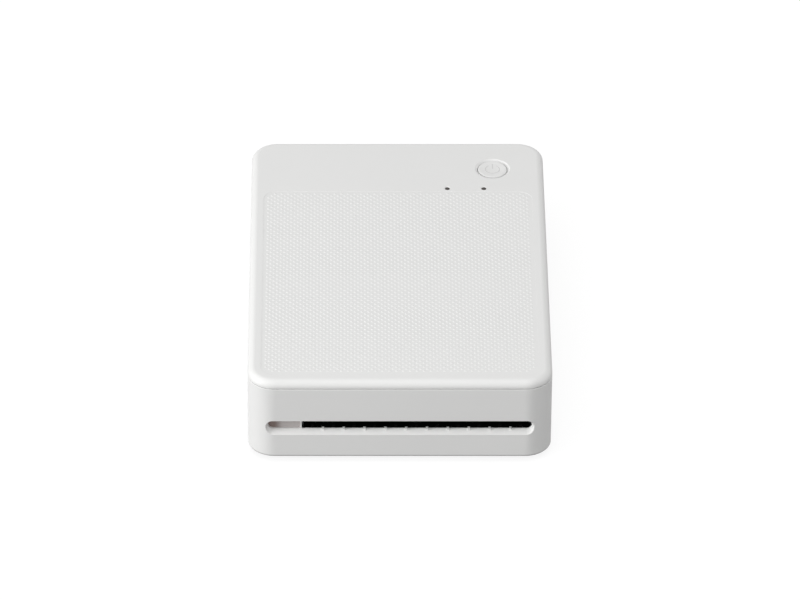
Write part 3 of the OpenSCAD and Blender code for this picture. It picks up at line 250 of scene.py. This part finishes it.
# A few more columns and rows than the field holds; those outside its rim are left out.
columns = np.arange(-40, 41)
rows = np.arange(0, 96)
dot_x, dot_y = np.meshgrid(columns * DOT_PITCH, FIELD_FRONT + rows * DOT_PITCH,
                           indexing="ij")
staggered = (columns[:, None] + rows[None, :]) % 2 == 0
over_x = np.maximum(np.abs(dot_x) - (FIELD_X - FIELD_CORNER), 0)
over_y = np.maximum(np.abs(dot_y - (FIELD_FRONT + FIELD_REAR) / 2)
                    - ((FIELD_REAR - FIELD_FRONT) / 2 - FIELD_CORNER), 0)
inside = staggered & (np.hypot(over_x, over_y) <= FIELD_CORNER)
dot_places = np.stack([dot_x[inside], dot_y[inside], np.full(inside.sum(), FIELD_Z)], 1)
polished_abs = surface("abs_polished_dots_white", "#ECECEB", "#EAEAE9", 40, 0.6, 0.001, 0.3, 0.4,
                       IOR=1.53)
piece("cover_dots", *repeat(*dome(DOT_R, DOT_H, 8, DOT_SUNK), dot_places), polished_abs, "cover",
      "shell", sharp=60)


# ------------------------------------------------------------------ power button's mark
# The cap carries the usual sign for power, a ring open at its top with a bar in the
# gap. It is moulded as thin raised lines in the dished face.

BUTTON_R, DISH_R, DISH_DEEP = 6.2, 45.0, 0.2     # widest radius; the dish's radius and depth
button_low, button_high = in_mm(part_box("power_button"))
BUTTON_X, BUTTON_Y = button_high[0] - BUTTON_R, (button_low[1] + button_high[1]) / 2
DISH_LOW = button_high[2] - DISH_DEEP
MARK_R, LINE_W, LINE_H, LINE_SUNK = 2.5, 0.3, 0.05, 0.03
MARK_TURN, BAR_Y = (122, 418), (0.4, 3.2)        # the ring's two ends in degrees, the bar's


def ribbon(path, across_way, width, low, high):
    """Closed strip along a path, from low to high above it in Z, with both ends capped.
    Its foot is width wide along across_way, and its top is 0.6 of that."""
    path, side = np.asarray(path, float), np.asarray(across_way, float) * width / 2
    up = np.array([0, 0, 1.0])
    rings = np.stack([path - side + up * low, path + side + up * low,
                      path + side * 0.6 + up * high, path - side * 0.6 + up * high], 1)
    count = len(path)
    faces = [[4 * i + j, 4 * i + (j + 1) % 4, 4 * i + 4 + (j + 1) % 4, 4 * i + 4 + j]
             for i in range(count - 1) for j in range(4)]
    return rings.reshape(-1, 3), faces + [[3, 2, 1, 0], [4 * count - 4 + j for j in range(4)]]


def join(*forms):
    """Puts several (points, faces) forms into one."""
    points, faces, start = [], [], 0
    for some_points, some_faces in forms:
        points.append(np.asarray(some_points, float))
        faces += [[i + start for i in face] for face in some_faces]
        start += len(some_points)
    return np.vstack(points), faces


def in_dish(x, y):
    """Point of the dished face: z = lowest + R - sqrt(R^2 - x^2 - y^2)."""
    z = DISH_LOW + DISH_R - np.sqrt(DISH_R ** 2 - x ** 2 - y ** 2)
    return np.stack([x + BUTTON_X, y + BUTTON_Y, z], 1)


turn = np.radians(np.linspace(*MARK_TURN, 41))
out = np.stack([np.cos(turn), np.sin(turn), turn * 0], 1)
ring = ribbon(in_dish(MARK_R * out[:, 0], MARK_R * out[:, 1]), out, LINE_W, -LINE_SUNK, LINE_H)
bar_y = np.linspace(*BAR_Y, 7)
bar = ribbon(in_dish(bar_y * 0, bar_y), np.tile([-1.0, 0, 0], (len(bar_y), 1)), LINE_W,
             -LINE_SUNK, LINE_H)
mark_grey = surface("abs_polished_mark_grey", "#CDCDCC", "#C9C9C8", 5, 0.4, 0.001, 0.3, 0.4,
                    IOR=1.53)
piece("power_mark", *join(ring, bar), mark_grey, "power_button", "shell")


# ------------------------------------------------------------------ lamps
# Two light pipes of smoked acrylic end in low lenses just below the cover's top. They
# look nearly black while the printer is off.

PIPE_R = 1.5                                     # widest radius of a light pipe
LENS_R, LENS_H, LENS_SUNK = 0.84, 0.12, 0.1
LENS_LOW = 0.16                                  # foot of the lens below the cover's top
pipes_low, pipes_high = in_mm(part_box("light_pipes"))
LAMP_Y = (pipes_low[1] + pipes_high[1]) / 2
LAMPS = ((pipes_low[0] + PIPE_R, LAMP_Y), (pipes_high[0] - PIPE_R, LAMP_Y))
smoked_acrylic = surface("acrylic_smoked_brown", "#3A322D", "#332B27", 3, 0.3, 0.0005, 0.22, 0.3,
                         IOR=1.49)
wear(smoked_acrylic, "light_pipes")
piece("lamp_lenses", *repeat(*dome(LENS_R, LENS_H, 24, LENS_SUNK),
                             [(x, y, TOP_Z - LENS_LOW) for x, y in LAMPS]),
      smoked_acrylic, "cover", "light_pipe", sharp=60)


# ------------------------------------------------------------------ dark mouldings
# The sill behind the slot, the sheet guide, the bearings, the pinch roller and the
# cover's hook are black acetal. It is self-lubricating and has a dull, even skin.

black_acetal = surface("acetal_black_dull", "#161617", "#0F0F10", 12, 0.3, 0.002, 0.5, 0.65,
                       IOR=1.48)
wear(black_acetal, "paper_guide", "bushes", "pinch_roller", "cover_keeper")

# The sill behind the slot is black acetal with a rough skin and almost no gloss; its colour is
# darker than the other black parts, which is painted shade for the deep slot it lies in.
black_acetal_shaded = surface("acetal_black_painted_shade", "#0B0A0A", "#080707", 8, 0.15, 0.02, 0.9, 1.0,
                      Specular_IOR_Level=0.05)
wear(black_acetal_shaded, "exit_guide")

# A smooth shutter closes the slot's left end, behind the funnel. Its grey-brown colour is painted
# shade, standing for the slot's white wall in the shade of the funnel. It bends back at its left
# end, out of the light, and the brown there is a painted shadow.
SLOT_Z, SLOT_LEFT, SHUTTER_RIGHT, SHUTTER_Y = 14.05, -42.65, -33.42, FRONT_Y + 3.05
SHUTTER_HALF, SHUTTER_BULGE, SHUTTER_THIN = 1.6, 0.45, 0.05
LEFT_SHADOW_FROM, LEFT_SHADOW_TO = 0.2, 3.4                    # the painted shadow fades between these from the left


def four_sided(rings):
    """Closes a strip of four-cornered rings with side faces and two end caps."""
    count = len(rings)
    faces = [[4 * i + j, 4 * i + 4 + j, 4 * i + 4 + (j + 1) % 4, 4 * i + (j + 1) % 4]
             for i in range(count - 1) for j in range(4)]
    return rings.reshape(-1, 3), faces + [[0, 1, 2, 3], [4 * count - 1 - j for j in range(4)]]


def shutter_form(steps):
    """Bent strip: for s from 0 at the left to 1 at the right the front face stands
    thin + bulge sin(s pi / 2) before the wall; the half height is that of a half round
    at the left end, h = H sqrt(1 - (1 - x / H)^2) while x is below H, and H from there."""
    s = (1 - np.cos(np.linspace(0, math.pi, steps))) / 2
    length = SHUTTER_RIGHT - SLOT_LEFT + SHUTTER_HALF
    x = s * length
    near = np.clip(1 - x / SHUTTER_HALF, 0, 1)
    half = np.maximum(SHUTTER_HALF * np.sqrt(1 - near ** 2), SHUTTER_THIN)
    front = SHUTTER_Y - SHUTTER_THIN - SHUTTER_BULGE * np.sin(s * math.pi / 2)
    x = x + SLOT_LEFT - SHUTTER_HALF
    back = np.full(steps, SHUTTER_Y)
    rings = np.stack([np.stack([x, y, z], 1) for y, z in (
        (front, SLOT_Z - half), (back, SLOT_Z - half), (back, SLOT_Z + half),
        (front, SLOT_Z + half))], 1)
    return four_sided(rings)


# Painted shade: a grey-brown colour for white plastic that lies in the slot's shade.
shutter_shade_abs = surface("abs_smooth_grey_brown_painted_shade", "#BDB7B5", "#B4AEAC", 6, 0.4, 0.001, 0.3, 0.4,
                      IOR=1.53)
tree, shader, plain_colour, place = base_colour(shutter_shade_abs)
across = add(tree, "ShaderNodeSeparateXYZ", {0: place})
left_shadow = add(tree, "ShaderNodeMapRange", {"Value": across.outputs["X"],
                                        1: (SLOT_LEFT + LEFT_SHADOW_FROM) * MM,
                                        2: (SLOT_LEFT + LEFT_SHADOW_TO) * MM, 3: 1.0, 4: 0.0},
           interpolation_type="SMOOTHSTEP")
# Painted shadow: browner towards the shutter's left end.
left_shadowed = add(tree, "ShaderNodeMix", {0: left_shadow.outputs[0], 6: plain_colour, 7: linear("#7A6863")},
            data_type="RGBA")
tree.links.new(left_shadowed.outputs[2], shader.inputs["Base Color"])
piece("slot_shutter", *shutter_form(25), shutter_shade_abs, "housing", "shell")


# ------------------------------------------------------------------ grey mouldings
# The paper tray, the plate under the cover and the press plate are glass-filled ABS in
# dark grey. The cassette is a lighter grey polystyrene, with a slightly finer skin.

grey_abs = surface("abs_glass_filled_grey", "#5C5E61", "#54565A", 25, 0.5, 0.006, 0.48, 0.62,
                   IOR=1.53)
wear(grey_abs, "paper_tray", "cover_inner_plate", "paper_press_plate")
cassette_grey = surface("polystyrene_cassette_grey", "#76787C", "#6E7074", 25, 0.3, 0.003,
                        0.38, 0.5, IOR=1.59)
wear(cassette_grey, "cassette_shell")


# ------------------------------------------------------------------ gears and spools
# The gears, the take-up drive and the two spools are natural acetal, injection moulded.
# It is a little waxy and lets some light in.

natural_acetal = surface("acetal_natural_ivory", "#E3DFD2", "#DAD5C6", 8, 0.25, 0.001, 0.28, 0.4,
                         IOR=1.48, Subsurface_Weight=0.15, Subsurface_Scale=0.6 * MM)
wear(natural_acetal, "capstan_gear", "exit_idler", "exit_gear", "takeup_drive", "takeup_spool",
     "supply_spool", "feed_idler", "feed_gear")

# The motor's pinion is turned and cut from free-cutting brass.
cut_brass = surface("brass_cut_pinion", "#C9A757", "#B8933F", 6, 0.12, 0.001, 0.2, 0.34,
                    (6, 1, 1), Metallic=1.0)
wear(cut_brass, "motor_pinion")


# ------------------------------------------------------------------ steel parts
# The side plates, the gear plate and the head's bracket are stamped from zinc-plated
# sheet; its rolling direction shows as long faint streaks. Shafts and pins are ground,
# so their streaks run around them. Screws and the motor's can have a duller zinc coat.

plated_sheet = surface("steel_sheet_zinc_plated", "#B9BDC1", "#A7ABB0", 18, 0.5, 0.002, 0.26, 0.42,
                       (1, 14, 1), Metallic=1.0)
wear(plated_sheet, "left_side_plate", "right_side_plate", "gear_plate", "head_bracket")
ground_steel = surface("steel_ground_bright", "#C6C8CA", "#B5B8BB", 10, 0.15, 0.0008, 0.14, 0.26,
                       (1, 10, 10), Metallic=1.0)
wear(ground_steel, "capstan_shaft", "platen_shaft", "exit_shaft", "feed_shaft", "idler_axles",
     "hinge_pins", "usb_socket")
dull_zinc = surface("steel_zinc_dull", "#A2A6AA", "#8E9297", 4, 0.2, 0.002, 0.32, 0.48,
                    Metallic=1.0)
wear(dull_zinc, "bottom_screws", "frame_screws", "board_screws", "inner_plate_screws",
     "motor_screws", "motor")


# ------------------------------------------------------------------ rubber parts
# The rollers' sleeves and tyres are ground silicone rubber with a dry, dusty skin; the
# feet are a softer moulded rubber of the same black.

ground_rubber = surface("rubber_silicone_ground", "#2A2A2B", "#202021", 6, 0.2, 0.006, 0.62, 0.82,
                        IOR=1.42)
wear(ground_rubber, "platen_roller", "exit_tyres", "feed_roller", "rubber_feet")


# ------------------------------------------------------------------ print head
# A glazed ceramic strip with its heating line, glued under an extruded heat sink of
# clear-anodised aluminium whose die lines run along its length.

glazed_ceramic = surface("ceramic_glazed_brown", "#6B5340", "#5A4534", 5, 0.4, 0.0005, 0.1, 0.18,
                         IOR=1.6, Coat_Weight=0.5)
wear(glazed_ceramic, "thermal_head")
anodised = surface("aluminium_extruded_anodised", "#BFC2C5", "#B0B3B7", 12, 0.25, 0.002, 0.3, 0.42,
                   (20, 1, 1), Metallic=1.0)
wear(anodised, "head_heatsink")


# ------------------------------------------------------------------ coil springs
# Springs over the head's two studs and the press plate's two studs push both away from
# the cover. They are wound from bright drawn wire, with their end turns closed.

PLATE_LO = in_mm(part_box("head_springs"))[1][2]   # underside of the cover's inner plate
COIL_R, WIRE_R, SOLID_R = 2.3, 0.3, 2.78         # the last is the solid springs' radius


def tube(path, radius, up, sides=8):
    """Round wire along a path: each ring lies across the tangent t, on the directions
    n = t x up and b = n x t, so p = path + r (n cos a + b sin a); both ends are capped."""
    path = np.asarray(path, float)
    t = np.gradient(path, axis=0)
    t /= np.linalg.norm(t, axis=1)[:, None]
    n = np.cross(t, np.asarray(up, float))
    n /= np.linalg.norm(n, axis=1)[:, None]
    b = np.cross(n, t)
    a = np.arange(sides) * 2 * math.pi / sides
    rings = path[:, None] + radius * (n[:, None] * np.cos(a)[:, None]
                                      + b[:, None] * np.sin(a)[:, None])
    count = len(path)
    faces = [[sides * i + j, sides * i + (j + 1) % sides, sides * (i + 1) + (j + 1) % sides,
              sides * (i + 1) + j] for i in range(count - 1) for j in range(sides)]
    return rings.reshape(-1, 3), faces + [list(range(sides))[::-1],
                                          [sides * (count - 1) + j for j in range(sides)]]


def helix(at, low, high, turns):
    """Centre line of a coil spring: 0.35 s + 0.65 (3 s^2 - 2 s^3) of the height at the
    part s of the turns, which rises slowly at both ends, so that they lie closed."""
    s = np.linspace(0, 1, int(turns * 20) + 1)
    angle = 2 * math.pi * turns * s
    part = 0.35 * s + 0.65 * (3 * s ** 2 - 2 * s ** 3)
    rise = (low + WIRE_R) + (high - low - 2 * WIRE_R) * part
    return np.stack([at[0] + COIL_R * np.cos(angle), at[1] + COIL_R * np.sin(angle), rise], 1)


spring_steel = surface("steel_spring_wire_bright", "#B2B4B6", "#A0A2A5", 4, 0.1, 0.001, 0.18, 0.3,
                       Metallic=1.0)
# Each pair: its node, the joint that presses it, turns, share of length left, distance.
for node, joint, turns, keep, apart in (
        ("head_springs", "head_press_slide", 3.5, 0.663, 48),
        ("press_springs", "press_plate_slide", 9.5, 0.92, 36)):
    low, high = in_mm(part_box(node))
    x, y = high[0] - SOLID_R, (low[1] + high[1]) / 2
    wires = [tube(helix(at, low[2], PLATE_LO, turns), WIRE_R, (0, 0, 1))
             for at in ((x - apart, y), (x, y))]
    coils = piece(node + "_wound", *join(*wires), spring_steel, "cover", "spring_steel", sharp=60)
    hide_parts(node)
    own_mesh(coils)


# ------------------------------------------------------------------ film
# The colour film is thin polyester with a dye layer. It runs from the supply roll under
# the print head to the take-up roll, and both rolls show the edges of their layers.

film_stock = surface("polyester_dye_film", "#4A2F3C", "#3C2733", 6, 0.18, 0.0006, 0.1, 0.22,
                     IOR=1.64, Coat_Weight=0.3)
wear(film_stock, "takeup_film", "supply_film")

film_low, film_high = in_mm(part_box("ribbon_film"))
FILM_LEFT, FILM_RIGHT, FILM_T = film_low[0], film_high[0], 0.06
film_knots = np.array([(-37.7, 20.05), (-41.6, 18.85), (-43.4, 18.55), (-47.2, 14.55),
                       (-49.8, 14.5), (-54.3, 18.4), (-56.3, 20.05)])


def smooth_path(knots, per_span):
    """Catmull-Rom curve through the knots, per_span points for each span."""
    k = np.vstack([2 * knots[0] - knots[1], knots, 2 * knots[-1] - knots[-2]])
    s = np.linspace(0, 1, per_span, endpoint=False)[:, None]
    spans = [0.5 * (2 * k[i + 1] + (k[i + 2] - k[i]) * s
                    + (2 * k[i] - 5 * k[i + 1] + 4 * k[i + 2] - k[i + 3]) * s ** 2
                    + (3 * k[i + 1] - k[i] - 3 * k[i + 2] + k[i + 3]) * s ** 3)
             for i in range(len(knots) - 1)]
    return np.vstack(spans + [knots[-1:]])


def web(path, left, right, thick):
    """Thin sheet across X that follows a path of (y, z), with thick of depth downwards."""
    count = len(path)
    x = np.array([left, right])
    top = np.stack([np.repeat(x, count), np.tile(path[:, 0], 2), np.tile(path[:, 1], 2)], 1)
    points = np.vstack([top, top - [0, 0, thick]])

    def at(level, side, i):
        return 2 * count * level + count * side + i

    faces = []
    for i in range(count - 1):
        faces += [[at(0, 0, i), at(0, 1, i), at(0, 1, i + 1), at(0, 0, i + 1)],
                  [at(1, 0, i + 1), at(1, 1, i + 1), at(1, 1, i), at(1, 0, i)],
                  [at(0, 0, i + 1), at(1, 0, i + 1), at(1, 0, i), at(0, 0, i)],
                  [at(0, 1, i), at(1, 1, i), at(1, 1, i + 1), at(0, 1, i + 1)]]
    end = count - 1
    return points, faces + [[at(0, 1, 0), at(0, 0, 0), at(1, 0, 0), at(1, 1, 0)],
                            [at(0, 0, end), at(0, 1, end), at(1, 1, end), at(1, 0, end)]]


film_web = piece("ribbon_film_web",
                 *web(smooth_path(film_knots[::-1], 8), FILM_LEFT, FILM_RIGHT, FILM_T),
                 film_stock, "housing", "film")
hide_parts("ribbon_film")


# ------------------------------------------------------------------ photo sheets
# Seven sheets of resin-coated photo paper lie in the tray. Each is cut a hair smaller
# than the guides' width, so the sheets never lie quite edge to edge.

SHEETS, SHEET_T, SHEET_PITCH = 7, 0.21, 0.2285
CORNER_R = 0.8
LEAST_CUT, MOST_CUT = 0.02, 0.22                 # how far each edge stays inside the guides
stack_low, stack_high = in_mm(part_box("paper_stack"))
coated_paper = surface("paper_resin_coated_white", "#F1F0EB", "#ECEAE4", 30, 0.4, 0.0008, 0.24,
                       0.36, IOR=1.5)
cut = np.random.default_rng(7).uniform(LEAST_CUT, MOST_CUT, (SHEETS, 4))
outlines, corner_turn = [], np.radians(np.linspace(0, 90, 5))
for k in range(SHEETS):
    x0, y0 = stack_low[0] + cut[k, 0] + CORNER_R, stack_low[1] + cut[k, 1] + CORNER_R
    x1, y1 = stack_high[0] - cut[k, 2] - CORNER_R, stack_high[1] - cut[k, 3] - CORNER_R
    outlines.append([(x + CORNER_R * math.cos(a + start), y + CORNER_R * math.sin(a + start))
                     for start, x, y in ((0, x1, y1), (math.pi / 2, x0, y1), (math.pi, x0, y0),
                                         (1.5 * math.pi, x1, y0))
                     for a in corner_turn])


def slab(outline, low, high):
    """Flat sheet with this outline, from low to high, closed above and below."""
    count = len(outline)
    points = [(x, y, z) for z in (low, high) for x, y in outline]
    walls = [[i, (i + 1) % count, count + (i + 1) % count, count + i] for i in range(count)]
    return points, walls + [list(range(count))[::-1], list(range(count, 2 * count))]


sheets = [slab(outline, stack_low[2] + k * SHEET_PITCH,
               stack_low[2] + k * SHEET_PITCH + SHEET_T) for k, outline in enumerate(outlines)]
stack = piece("paper_sheets", *join(*sheets), coated_paper, "housing", "photo_paper")
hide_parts("paper_stack")


# ------------------------------------------------------------------ circuit boards
# Both boards are glass-epoxy with green solder mask. What stands above the mask is
# black moulded packages, so the colour changes at the board's top face.

TRACK_W, TRACK_L, TRACK_PITCH = 0.12, 4.2, 1.3
MASK_GAP = 0.05                                  # the colour changes just above the face


def board(name, top):
    """Green solder mask with copper tracks up to the height top in mm, black epoxy above."""
    material = surface(name, "#1F5A3C", "#184A31", 5, 0.3, 0.001, 0.22, 0.34, IOR=1.5)
    tree, shader, mask, place = base_colour(material)
    cells = add(tree, "ShaderNodeTexBrick", {"Vector": place, "Color1": (1, 1, 1, 1),
                                             "Color2": (1, 1, 1, 1), "Mortar": (0, 0, 0, 1),
                                             "Scale": 1.0, "Mortar Size": TRACK_W * MM,
                                             "Brick Width": TRACK_L * MM,
                                             "Row Height": TRACK_PITCH * MM})
    tracks = add(tree, "ShaderNodeMix", {0: cells.outputs["Color"], 6: linear("#3F7F57"),
                                         7: mask}, data_type="RGBA")
    height = add(tree, "ShaderNodeSeparateXYZ", {0: place})
    above = add(tree, "ShaderNodeMath", {0: height.outputs["Z"], 1: top * MM},
                operation="GREATER_THAN")
    colour = add(tree, "ShaderNodeMix", {0: above.outputs[0], 6: tracks.outputs[2],
                                         7: linear("#1B1B1D")}, data_type="RGBA")
    tree.links.new(colour.outputs[2], shader.inputs["Base Color"])
    return material


for node, thick in (("main_board", 1.0), ("button_board", 0.8)):
    top = in_mm(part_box(node))[0][2] + thick + MASK_GAP
    wear(board("glass_epoxy_" + node, top), node)


# ------------------------------------------------------------------ flat cable
# A polyimide flat cable with printed copper lines joins the print head to the main board.
# It is glued to the head and under the cover's plate, passes the hinge, and runs down the
# rear wall and under the tray to the board's rear edge. It is made in two lengths.

CABLE_W, CABLE_T, COPPER_PITCH = 6.0, 0.16, 0.6
CABLE_X = 2.5                                    # its middle, as far as the rear wall
GLUE_Z = PLATE_LO - CABLE_T / 2 - 0.05           # its height under the cover's plate
cable_head = np.array([(CABLE_X, -46.45, 20.3), (CABLE_X, -46.45, 22.4), (CABLE_X, -45.7, 23.5),
                       (CABLE_X, -45.15, 24.6), (CABLE_X, -44.9, 25.7), (CABLE_X, -43.9, 27.1),
                       (CABLE_X, -42.0, 27.82), (CABLE_X, -38.0, GLUE_Z), (CABLE_X, -30.0, GLUE_Z)])
cable_hinge = np.array([(CABLE_X, -30.0, GLUE_Z), (CABLE_X, 20.0, GLUE_Z),
                        (CABLE_X, 64.5, GLUE_Z), (CABLE_X, 66.6, 27.8),
                        (CABLE_X, 68.6, 27.2), (CABLE_X, 69.8, 25.6), (CABLE_X, 70.1, 23.0),
                        (3.5, 70.1, 18.0), (7.5, 69.9, 10.0), (8.5, 69.0, 6.0),
                        (8.5, 66.8, 4.4), (8.5, 63.0, 4.1), (8.5, 49.3, 4.1)])

polyimide = surface("polyimide_flat_cable_amber", "#B07A2E", "#A56F28", 8, 0.3, 0.0005, 0.2, 0.3,
                    IOR=1.7)
tree, shader, amber, place = base_colour(polyimide)
# The wave texture draws a line each pi / 10 / scale.
lines = add(tree, "ShaderNodeTexWave", {"Vector": place,
                                        "Scale": math.pi / 10 / (COPPER_PITCH * MM)})
copper = add(tree, "ShaderNodeMix", {0: lines.outputs["Fac"], 6: amber, 7: linear("#7A4A1C")},
             data_type="RGBA")
tree.links.new(copper.outputs[2], shader.inputs["Base Color"])


def flat_cable(name, knots):
    """Closed flat strip along a smooth path: each ring is the path point plus and minus
    half the width along X and plus and minus half the thickness along n = X x tangent."""
    path = smooth_path(knots, 6)
    n = np.cross([1.0, 0, 0], np.gradient(path, axis=0))
    n /= np.linalg.norm(n, axis=1)[:, None]
    side, thick = np.array([CABLE_W / 2, 0, 0]), n * CABLE_T / 2
    rings = np.stack([path - side - thick, path + side - thick, path + side + thick,
                      path - side + thick], 1)
    return form(name, *four_sided(rings), polyimide, "circuit_board", 40)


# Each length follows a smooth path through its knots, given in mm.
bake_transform(flat_cable("head_flat_cable", cable_head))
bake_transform(flat_cable("hinge_flat_cable", cable_hinge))


# ------------------------------------------------------------------ battery
# A flat lithium cell in black shrink wrap, which is glossy and slightly wrinkled.

shrink_wrap = surface("shrink_wrap_black", "#1E1F21", "#18191B", 20, 3.0, 0.05, 0.2, 0.34,
                      (1, 3, 1), IOR=1.5)
wear(shrink_wrap, "battery_pack")


# ------------------------------------------------------------------ studio
# A plain pale floor and soft light: one soft box low at the left, one above, weaker ones in
# front and at the right, and an even pale surround. Floor and surround are white to the
# camera, and the floor keeps a light shadow.

FLOOR_HALF = 6                                   # metres
FLOOR_SHARE, FLOOR_GLOW = 0.82, 1.06             # part of the seen floor that glows; strength
SURROUND = 0.6                                   # strength of the surround's light
AIM = (0, 0, 0.02)                               # metres: where the soft boxes point

floor_mesh = bpy.data.meshes.new("floor")
floor_mesh.from_pydata([(x * FLOOR_HALF, y * FLOOR_HALF, 0)
                        for x, y in ((-1, -1), (1, -1), (1, 1), (-1, 1))], [], [(0, 1, 2, 3)])
floor = bpy.data.objects.new("floor", floor_mesh)
bpy.context.scene.collection.objects.link(floor)


def shown_white(tree):
    """One for rays from the camera, from gloss and through glass, nought for soft light."""
    path = add(tree, "ShaderNodeLightPath", {})
    direct = add(tree, "ShaderNodeMath", {0: path.outputs["Is Camera Ray"],
                                          1: path.outputs["Is Glossy Ray"]}, operation="MAXIMUM")
    return add(tree, "ShaderNodeMath", {0: direct.outputs[0],
                                        1: path.outputs["Is Transmission Ray"]},
               operation="MAXIMUM").outputs[0]


floor_paint = bpy.data.materials.new("floor_paper_white")
floor_paint.use_nodes = True
tree = floor_paint.node_tree
tree.nodes.clear()
seen = shown_white(tree)
tone = add(tree, "ShaderNodeMix", {0: seen, 6: linear("#4A4A4A"), 7: linear("#FFFFFF")},
           data_type="RGBA")
paper = add(tree, "ShaderNodeBsdfDiffuse", {"Color": tone.outputs[2]})
glow = add(tree, "ShaderNodeEmission", {"Color": (1, 1, 1, 1), "Strength": FLOOR_GLOW})
part = add(tree, "ShaderNodeMath", {0: seen, 1: FLOOR_SHARE}, operation="MULTIPLY")
floor_mix = add(tree, "ShaderNodeMixShader", {0: part.outputs[0], 1: paper.outputs[0],
                                              2: glow.outputs[0]})
add(tree, "ShaderNodeOutputMaterial", {"Surface": floor_mix.outputs[0]})
floor_mesh.materials.append(floor_paint)

world = bpy.data.worlds.new("surround")
bpy.context.scene.world = world
world.use_nodes = True
tree = world.node_tree
tree.nodes.clear()
dim = add(tree, "ShaderNodeBackground", {"Color": (1, 1, 1, 1), "Strength": SURROUND})
bright = add(tree, "ShaderNodeBackground", {"Color": (1, 1, 1, 1), "Strength": 1.0})
sky = add(tree, "ShaderNodeMixShader", {0: shown_white(tree), 1: dim.outputs[0],
                                        2: bright.outputs[0]})
add(tree, "ShaderNodeOutputWorld", {"Surface": sky.outputs[0]})


def soft_box(name, at, size, power, shine=1.0):
    """Square area lamp that faces AIM; metres and watts. shine is the part gloss shows."""
    lamp_data = bpy.data.lights.new(name, "AREA")
    lamp_data.size = size
    lamp_data.energy = power
    lamp_data.specular_factor = shine
    lamp = bpy.data.objects.new(name, lamp_data)
    lamp.location = at
    way = np.array(AIM, float) - np.array(at, float)
    flat = math.hypot(way[0], way[1])
    lamp.rotation_euler = (math.atan2(flat, -way[2]), 0.0, math.atan2(-way[0], way[1]))
    bpy.context.scene.collection.objects.link(lamp)


soft_box("left_light", (-1.26, -0.42, 0.27), 0.5, 10.6, 0.3)
soft_box("top_light", (-0.25, -0.45, 1.25), 1.0, 4.5)
soft_box("front_light", (0.0, -1.5, 0.34), 0.8, 4.1)
soft_box("right_light", (1.3, 0.1, 0.35), 0.8, 1.0)
